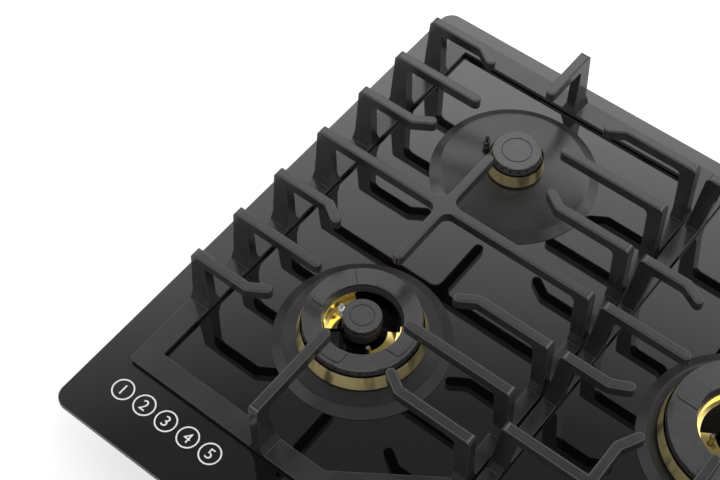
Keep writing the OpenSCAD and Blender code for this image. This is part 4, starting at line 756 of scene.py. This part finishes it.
@dataclass
class GlassTop:
    """Glass panel with ground arrises and the marks printed on it."""

    half_width: float = 0.430
    half_depth: float = 0.255
    corner_r: float = 0.012
    corner_steps: int = 17
    low_z: float = 0.055
    arris: float = 0.0006
    arris_steps: int = 5
    holes: tuple[tuple[float, float, float], ...] = (
        (-SIDE_X, REAR_Y, 0.0336), (-SIDE_X, FRONT_Y, 0.0517), (SIDE_X, FRONT_Y, 0.0406),
        (SIDE_X, REAR_Y, 0.0406), (0.0, MIDDLE_Y, 0.0622), *((x, KNOB_Y, 0.0056) for x in KNOB_X))
    hole_steps: int = 96
    knob_hole_steps: int = 32
    ink_z: float = GLASS_TOP + 0.00005
    ink_t: float = 0.00004
    ring_r: float = 0.0092
    ring_w: float = 0.0012
    ring_y: float = -0.2162
    ring_x: tuple[float, ...] = (-0.3919, -0.3699, -0.3479, -0.3259, -0.3039)
    figure_h: float = 0.0090
    figure_share: float = 0.7
    wedge_r: float = 0.0268
    wedge_turn: Place = (180.0, 300.0)
    wedge_w: Place = (2.4 * MM, 0.5 * MM)
    wedge_steps: int = 41
    off_y: float = 0.0285
    off_r: float = 0.0011
    plan_y: float = -0.0375
    plan_pitch: Place = (0.0042, 0.0032)
    plan: tuple[Place, ...] = ((-1.0, -1.0), (-1.0, 1.0), (0.0, 0.0), (1.0, 1.0), (1.0, -1.0))
    plan_dot_r: float = 0.0015
    plan_ring_r: float = 0.0011
    plan_ring_w: float = 0.0003
    dot_steps: int = 24
    pin_point: float = 1e-5

    def outline(self, inset: float) -> np.ndarray:
        """Edge of the panel moved inwards: a rounded rectangle whose corner circles keep their centres."""
        r = self.corner_r - inset
        x, y = self.half_width - self.corner_r, self.half_depth - self.corner_r
        quarter = np.radians(np.linspace(0.0, 90.0, self.corner_steps))
        corners = []
        for k, (sx, sy) in enumerate(((1.0, 1.0), (-1.0, 1.0), (-1.0, -1.0), (1.0, -1.0))):
            turn = quarter + k * np.pi / 2
            corners.append(np.stack([sx * x + r * np.cos(turn), sy * y + r * np.sin(turn)], axis=1))
        return np.vstack(corners)

    def hole_edge(self, hole: tuple[float, float, float], inset: float) -> np.ndarray:
        """Edge of a hole moved into the glass."""
        x, y, r = hole
        steps = self.knob_hole_steps if y == KNOB_Y else self.hole_steps
        turn = np.linspace(0.0, 2.0 * np.pi, steps, endpoint=False)
        return np.stack([x + (r + inset) * np.cos(turn), y + (r + inset) * np.sin(turn)], axis=1)

    def panel(self, material: Material) -> Piece:
        """Glass panel whose edges have a ground quarter-round arris.

        At turn t of the arris with radius a, a point lies a (1 - cos t) inside the edge and a (1 - sin t)
        below the top; the lower arris mirrors it. The two faces are the outlines moved in by a, without the
        holes.

        Args:
            material: glass.

        Returns:
            The panel.
        """
        turn = np.linspace(0.0, np.pi / 2, self.arris_steps)
        inset = self.arris * (1.0 - np.cos(turn))
        z = GLASS_TOP - self.arris * (1.0 - np.sin(turn))
        profile = list(zip(inset[::-1], self.low_z + GLASS_TOP - z[::-1])) + list(zip(inset, z))
        edges = [self.outline] + [partial(self.hole_edge, hole) for hole in self.holes]
        parts = []
        for edge in edges:
            rows = [np.insert(edge(i), 2, h, axis=1) for i, h in profile]
            quads = grid_faces(len(rows), len(rows[0]), False, True)
            parts.append((np.vstack(rows), np.vstack([quads[:, [0, 1, 2]], quads[:, [0, 2, 3]]])))
        loops = [[Vector((x, y, 0.0)) for x, y in edge(self.arris)] for edge in edges]
        face = np.array(geometry.tessellate_polygon(loops))
        flat = np.array([point[:2] for loop in loops for point in loop])
        for height in (self.low_z, GLASS_TOP):
            parts.append((np.insert(flat, 2, height, axis=1), face))
        piece = new_piece("ground_glass", joined(parts), material)
        for polygon in piece.data.polygons:
            polygon.use_smooth = abs(polygon.normal.z) < 0.999
        return ride_as(piece, ROOT, "black_glass", "glass_panel")

    def flat_band(self, centre: Place, inner: np.ndarray, outer: np.ndarray, turn: np.ndarray,
                  closed: bool) -> Shape:
        """Thin printed band between two radii that may change along the turn.

        Point k lies at the centre plus radius k times (cos t, sin t); the band has a top, a bottom, two walls
        and, where it is open, two ends.

        Args:
            centre: middle of the band.
            inner: inner radius at each turn.
            outer: outer radius at each turn.
            turn: angles in radians.
            closed: whether the last turn joins the first.

        Returns:
            Points and faces.
        """
        radii = np.stack([inner, outer, outer, inner], axis=1)
        z = np.array([self.ink_z, self.ink_z, self.ink_z + self.ink_t, self.ink_z + self.ink_t])
        x = centre[0] + radii * np.cos(turn)[:, None]
        y = centre[1] + radii * np.sin(turn)[:, None]
        points = np.stack([x, y, np.broadcast_to(z, x.shape)], axis=2).reshape(-1, 3)
        faces = grid_faces(len(turn), 4, closed, True)
        if not closed:
            ends = np.array([[0, 1, 2, 3], [-1, -2, -3, -4]]) % len(points)
            faces = np.vstack([faces, ends])
        return points, faces

    def ring(self, centre: Place, radius: float, width: float, steps: int = 64) -> Shape:
        """Printed ring; a width equal to the radius gives a dot with a pin-point hole."""
        turn = np.linspace(0.0, 2.0 * np.pi, steps, endpoint=False)
        inner = np.full(steps, max(radius - width, self.pin_point))
        return self.flat_band(centre, inner, np.full(steps, radius), turn, True)

    def numeral(self, figure: str, centre: Place, material: Material) -> Piece:
        """Print one figure, centred on a point.

        Args:
            figure: the figure.
            centre: where it stands.
            material: ink.

        Returns:
            The figure as a thin mesh.
        """
        curve = bpy.data.curves.new(f"figure_{figure}", "FONT")
        curve.body = figure
        curve.size = self.figure_h / self.figure_share
        curve.align_x = "CENTER"
        curve.align_y = "CENTER"
        curve.extrude = self.ink_t / 2
        source = bpy.data.objects.new(f"figure_{figure}_curve", curve)
        bpy.context.scene.collection.objects.link(source)
        graph = bpy.context.evaluated_depsgraph_get()
        graph.update()
        mesh = bpy.data.meshes.new_from_object(source.evaluated_get(graph))
        bpy.data.objects.remove(source)
        flat = np.empty(len(mesh.vertices) * 3)
        mesh.vertices.foreach_get("co", flat)
        points = flat.reshape(-1, 3)
        middle = (points.min(axis=0) + points.max(axis=0)) / 2.0
        points += np.array([*centre, self.ink_z + self.ink_t / 2]) - middle
        mesh.vertices.foreach_set("co", points.ravel())
        mesh.materials.clear()
        mesh.materials.append(material)
        piece = bpy.data.objects.new(f"printed_{figure}", mesh)
        bpy.context.scene.collection.objects.link(piece)
        return piece

    def knob_scale(self, number: int, x: float) -> Shape:
        """Marks round one knob: a dot at off, a wedge from large to small flame and a plan of the burners.

        The wedge's width falls evenly over its turn. In the plan, the knob's own burner is a dot and the
        others are rings.

        Args:
            number: the knob's number, from 0.
            x: the knob's place along the panel.

        Returns:
            Points and faces of all the marks.
        """
        turn = np.radians(np.linspace(*self.wedge_turn, self.wedge_steps))
        inner = np.full(self.wedge_steps, self.wedge_r)
        outer = inner + np.linspace(*self.wedge_w, self.wedge_steps)
        parts = [self.flat_band((x, KNOB_Y), inner, outer, turn, False),
                 self.ring((x, KNOB_Y + self.off_y), self.off_r, self.off_r, self.dot_steps)]
        for i, (u, v) in enumerate(self.plan):
            place = (x + self.plan_pitch[0] * u, KNOB_Y + self.plan_y + self.plan_pitch[1] * v)
            radius = self.plan_dot_r if i == number else self.plan_ring_r
            width = radius if i == number else self.plan_ring_w
            parts.append(self.ring(place, radius, width, self.dot_steps))
        return joined(parts)

    def build(self) -> None:
        """Grind the panel's edges and print its marks."""
        self.panel(BlackGlass().material())
        ink = Ink().material()
        rings = joined([self.ring((x, self.ring_y), self.ring_r, self.ring_w) for x in self.ring_x])
        ride_as(new_piece("printed_rings", rings, ink, smooth=False), ROOT, "white_ceramic")
        for i, x in enumerate(self.ring_x, 1):
            ride_as(self.numeral(str(i), (x, self.ring_y), ink), ROOT, "white_ceramic")
        scales = joined([self.knob_scale(i, x) for i, x in enumerate(KNOB_X)])
        ride_as(new_piece("printed_knob_scales", scales, ink, smooth=False), ROOT, "white_ceramic")


@dataclass
class Controls:
    """Knobs with their pointer inlays, bezels, spindles and tap plugs."""

    knob_top: float = 0.0885
    groove: float = 0.0004
    inlay_w: float = 0.0016
    inlay_in: float = 0.0065
    inlay_out: float = 0.0168
    bulge: float = 0.00025
    rim_h: float = 0.00003
    along: int = 25
    across: int = 9
    straight: float = 0.42
    tip_share: float = 0.0004

    def inlay(self, number: int, material: Material) -> Piece:
        """Painted pointer in a knob's groove: a bar with round ends and a bulging section.

        Along its length u from 0 to 1 the half width is w sqrt(1 - e ** 2), where e runs from 0 to 1 in the
        last 0.08 of each end, and the height over the groove's floor is h cos(pi v / 2) for v from -1 to 1
        across it.

        Args:
            number: the knob's number, from 1.
            material: paint.

        Returns:
            The inlay.
        """
        u = np.linspace(0.0, 1.0, self.along)
        v = np.linspace(-1.0, 1.0, self.across)
        end_length = 0.5 - self.straight
        end = np.clip(np.abs(u - 0.5) - self.straight, 0.0, end_length) / end_length
        half = self.inlay_w / 2 * np.sqrt(np.clip(1.0 - end ** 2, self.tip_share, 1.0))
        x = KNOB_X[number - 1] + half[:, None] * v[None, :]
        reach = self.inlay_in + (self.inlay_out - self.inlay_in) * u
        y = np.broadcast_to(KNOB_Y + reach[:, None], x.shape)
        floor = self.knob_top - self.groove
        z = floor + self.rim_h + self.bulge * np.cos(np.pi * v / 2)[None, :] * np.ones_like(x)
        top = np.stack([x, y, z], axis=2).reshape(-1, 3)
        low = top.copy()
        low[:, 2] = floor
        corner = np.arange(self.along * self.across).reshape(self.along, self.across)
        rim = np.concatenate([corner[0], corner[1:, -1], corner[-1, -2::-1], corner[-2:0:-1, 0]])
        ahead = np.roll(rim, -1)
        wall = np.stack([rim, ahead, ahead + corner.size, rim + corner.size], axis=1)
        faces = grid_faces(self.along, self.across)
        shape = np.vstack([top, low]), np.vstack([faces, faces + corner.size, wall])
        return new_piece(f"knob_pointer_{number}", shape, material)

    def build(self) -> None:
        """Dress the knobs and what turns below them."""
        plastic = Moulded("knob body", (0.02, 0.02, 0.0205), 0.34, skin=0.000012, grain=2200.0, coat=0.15)
        body = plastic.material()
        bezel = Metal("bezel metal", (0.09, 0.09, 0.092), 0.3, Direction.ROUND).material()
        steel = Metal("spindle steel", (0.55, 0.55, 0.56), 0.28, Direction.ROUND).material()
        brass = Brass("plug brass", (0.66, 0.5, 0.22), 0.3).material()
        paint = Ink("pointer paint", (0.75, 0.75, 0.74)).material()
        for i in range(1, len(KNOB_X) + 1):
            dress(f"knob_{i}", body)
            dress(f"spindle_{i}", steel)
            dress(f"tap_plug_{i}", brass)
            ride_as(self.inlay(i, paint), f"knob_{i}", "white_ceramic")
        dress("knob_bezels", bezel)


@dataclass
class Underside:
    """Tray, clamps, gas rail, pipes, inlet thread and ignition box."""

    inlet_x: float = 0.366
    inlet_z: float = 0.015
    inlet_from: float = 0.177
    wall_y: float = 0.189
    nut_from: float = 0.190
    nut_to: float = 0.196
    inlet_to: float = 0.211
    thread_r: float = 0.01048
    bore_r: float = 0.006
    collar_r: float = 0.01148
    nut_r: float = 0.01348
    nut_chamfer: float = 0.0006
    bore_chamfer: float = 0.0005
    pitch: float = 0.001814
    thread_depth: float = 0.00116
    thread_start: float = 0.0004
    thread_end: float = 0.0008
    rows_per_pitch: int = 10
    turn_steps: int = 96

    def inlet(self, material: Material) -> Piece:
        """Gas inlet with its pipe thread, seat, hexagon and bore.

        Around the axis by turn t and along it by s, the radius is the crest radius less the depth times
        (1 - cos(2 pi s / pitch - t)) / 2 on the thread; on the hexagon it is the apothem over
        cos((t mod 60) - 30 degrees); elsewhere it is the plain radius of the profile.

        Args:
            material: brass.

        Returns:
            The inlet.
        """
        turn = np.linspace(0.0, 2.0 * np.pi, self.turn_steps + 1)[:-1]
        apothem = self.nut_r * math.cos(math.pi / 6)
        hexagon = apothem / np.cos(turn % (np.pi / 3) - np.pi / 6)
        chamfer = np.minimum(hexagon, apothem + self.nut_chamfer)
        root_r = self.thread_r - self.thread_depth
        profile = [
            (self.inlet_from, self.bore_r), (self.inlet_from, self.collar_r), (self.wall_y, self.collar_r),
            (self.wall_y, self.thread_r), (self.nut_from, self.thread_r), (self.nut_from, chamfer),
            (self.nut_from + self.nut_chamfer, hexagon), (self.nut_to - self.nut_chamfer, hexagon),
            (self.nut_to, chamfer), (self.nut_to, root_r)]
        threaded = np.arange(self.nut_to + self.thread_start, self.inlet_to - self.thread_end,
                             self.pitch / self.rows_per_pitch)
        for s in threaded:
            wave = (1.0 - np.cos(2.0 * np.pi * (s / self.pitch) - turn)) / 2.0
            profile.append((s, self.thread_r - self.thread_depth * wave))
        profile += [(self.inlet_to, root_r), (self.inlet_to, self.bore_r + self.bore_chamfer),
                    (self.inlet_to - self.bore_chamfer, self.bore_r)]
        r = np.stack([np.broadcast_to(radius, turn.shape) for _, radius in profile])
        y = np.broadcast_to(np.array([s for s, _ in profile])[:, None], r.shape)
        points = np.stack([self.inlet_x + r * np.cos(turn), y, self.inlet_z + r * np.sin(turn)], axis=2)
        shape = points.reshape(-1, 3), grid_faces(len(profile), len(turn), True, True)
        return new_piece("threaded_inlet", shape, material)

    def build(self) -> None:
        """Dress everything below the glass."""
        sheet = Metal("galvanised sheet", (0.55, 0.56, 0.58), 0.36, spangle=True).material()
        screw = Metal("plated screw", (0.6, 0.6, 0.62), 0.3, Direction.ROUND).material()
        tube = Metal("aluminium tube", (0.62, 0.63, 0.64), 0.34, Direction.ALONG_X).material()
        tap = Metal("die-cast tap", (0.5, 0.51, 0.52), 0.42, grain_depth=0.00002).material()
        rail = Metal("plated rail", (0.52, 0.53, 0.55), 0.33, Direction.ALONG_X).material()
        brass = Brass("inlet brass", (0.66, 0.5, 0.22), 0.28).material()
        foam = Moulded("seal foam", (0.02, 0.02, 0.021), 0.9, skin=0.00015, grain=900.0).material()
        box = Moulded("ignition box", (0.05, 0.05, 0.052), 0.5, skin=0.00004, grain=1500.0).material()
        finishes = {
            "base_tray": sheet, "clamp_brackets": sheet, "rail_saddles": sheet, "clamp_screws": screw,
            "cup_screws": screw, "burner_pipes": tube, "tap_bodies": tap, "gas_rail": rail,
            "worktop_seal": foam, "ignition_box": box}
        for node, finish in finishes.items():
            dress(node, finish)
        ride_as(self.inlet(brass), ROOT, "turned_brass", "gas_inlet")


def aim(thing: Piece, place: Colour, target: Colour) -> None:
    """Put a lamp or camera at a place, turn it to a target and add it to the scene."""
    thing.location = place
    thing.rotation_euler = (Vector(target) - Vector(place)).to_track_quat("-Z", "Y").to_euler()
    bpy.context.scene.collection.objects.link(thing)


@dataclass
class Lamp:
    """One soft rectangular lamp that shines at a point of the object."""

    name: str
    place: Colour
    target: Colour
    width: float
    depth: float
    power: float

    def build(self) -> None:
        """Add the lamp."""
        data = bpy.data.lights.new(self.name, "AREA")
        data.shape = "RECTANGLE"
        data.size = self.width
        data.size_y = self.depth
        data.energy = self.power
        lamp = bpy.data.objects.new(self.name, data)
        lamp.visible_glossy = False
        aim(lamp, self.place, self.target)


@dataclass
class Studio:
    """Pale floor, soft light and the camera of the photograph.

    The steps of the sky are pairs of height, from 0 at the horizon to 1 overhead, and brightness.
    """

    camera_at: Colour = (0.1022, -0.5516, 1.0721)
    looks_at: Colour = (-0.336284, 0.004688, 0.060)
    lens: float = 75.83
    sensor: float = 36.0
    clip: Place = (0.05, 50.0)
    floor_size: float = 6.0
    floor_z: float = -0.0005
    floor_colour: Colour = (0.40, 0.40, 0.40)
    floor_glow: float = 0.55
    sky_scale: float = 2.0
    sky_steps: tuple[Place, ...] = (
        (0.0, 0.16), (0.35, 0.28), (0.58, 0.75), (0.70, 0.98), (0.76, 0.84), (0.79, 0.58), (0.825, 0.40),
        (0.85, 0.22), (0.875, 0.095), (0.895, 0.085), (1.0, 0.08))
    lamps: list[Lamp] = field(default_factory=lambda: [
        Lamp("rear softbox", (-0.5, 1.6, 1.5), (0.0, 0.1, 0.1), 1.6, 1.0, 20.0),
        Lamp("top softbox", (0.2, 0.1, 1.9), (0.0, 0.0, 0.1), 1.2, 1.2, 13.0),
        Lamp("left softbox", (-1.6, -0.6, 0.9), (-0.1, 0.0, 0.1), 1.0, 0.8, 2.0),
    ])

    def sky(self) -> None:
        """Light the world: bright below 50 degrees, falling to a dark ceiling, and white to the camera."""
        world = bpy.data.worlds.new("studio")
        world.use_nodes = True
        tree = world.node_tree
        tree.nodes.clear()
        upward = add_node(tree, "SeparateXYZ", Vector=add_node(tree, "TexCoord").outputs["Generated"])
        fall = add_node(tree, "ValToRGB", Fac=upward.outputs["Z"])
        steps = fall.color_ramp.elements
        while len(steps) < len(self.sky_steps):
            steps.new(0.5)
        for step, (height, value) in zip(steps, self.sky_steps):
            step.position = height
            step.color = (value, value, value, 1.0)
        light = add_node(tree, "Background", Color=fall.outputs["Color"], Strength=self.sky_scale)
        seen = add_node(tree, "Background", Color=(1.0, 1.0, 1.0, 1.0))
        mix = add_node(tree, "MixShader", Fac=add_node(tree, "LightPath").outputs["Is Camera Ray"])
        for background, place in zip((light, seen), mix.inputs[1:]):
            tree.links.new(background.outputs["Background"], place)
        add_node(tree, "OutputWorld", Surface=mix.outputs["Shader"])
        bpy.context.scene.world = world

    def floor(self) -> None:
        """Lay the floor: a faint glow makes it white to the camera, and the object's soft shadow stays."""
        half = self.floor_size / 2
        corners = ((-half, -half), (half, -half), (half, half), (-half, half))
        points = np.array([(x, y, self.floor_z) for x, y in corners])
        s = Shader("floor", self.floor_colour, 0.8)
        s.bump(s.noise(40.0, 2.0), 0.0001)
        seen = s.math("MULTIPLY", s.add("LightPath").outputs["Is Camera Ray"], self.floor_glow)
        glow = s.add("Emission", Strength=seen)
        total = s.add("AddShader")
        for shader, place in zip((s.principled.outputs["BSDF"], glow.outputs["Emission"]), total.inputs):
            s.tree.links.new(shader, place)
        fill(s.tree, s.output, Surface=total.outputs["Shader"])
        ground = new_piece("floor", (points, np.array([[0, 1, 2, 3]])), s.material, smooth=False)

    def camera(self) -> None:
        """Stand the camera where the photograph was taken from."""
        data = bpy.data.cameras.new("camera")
        data.lens = self.lens
        data.sensor_width = self.sensor
        data.clip_start, data.clip_end = self.clip
        camera = bpy.data.objects.new("camera", data)
        aim(camera, self.camera_at, self.looks_at)
        bpy.context.scene.camera = camera

    def build(self) -> None:
        """Set up the studio."""
        bpy.context.scene.view_settings.view_transform = "Standard"
        self.camera()
        self.sky()
        self.floor()
        for lamp in self.lamps:
            lamp.build()


def main() -> None:
    """Build every sub-assembly."""
    logging.basicConfig(level=logging.INFO, format="%(message)s")
    Studio().build()
    for assembly in (GlassTop(), PanSupports(), Burners(), Controls(), Underside()):
        assembly.build()
        log.info("built %s", type(assembly).__name__)


if __name__ == "__main__":
    main()
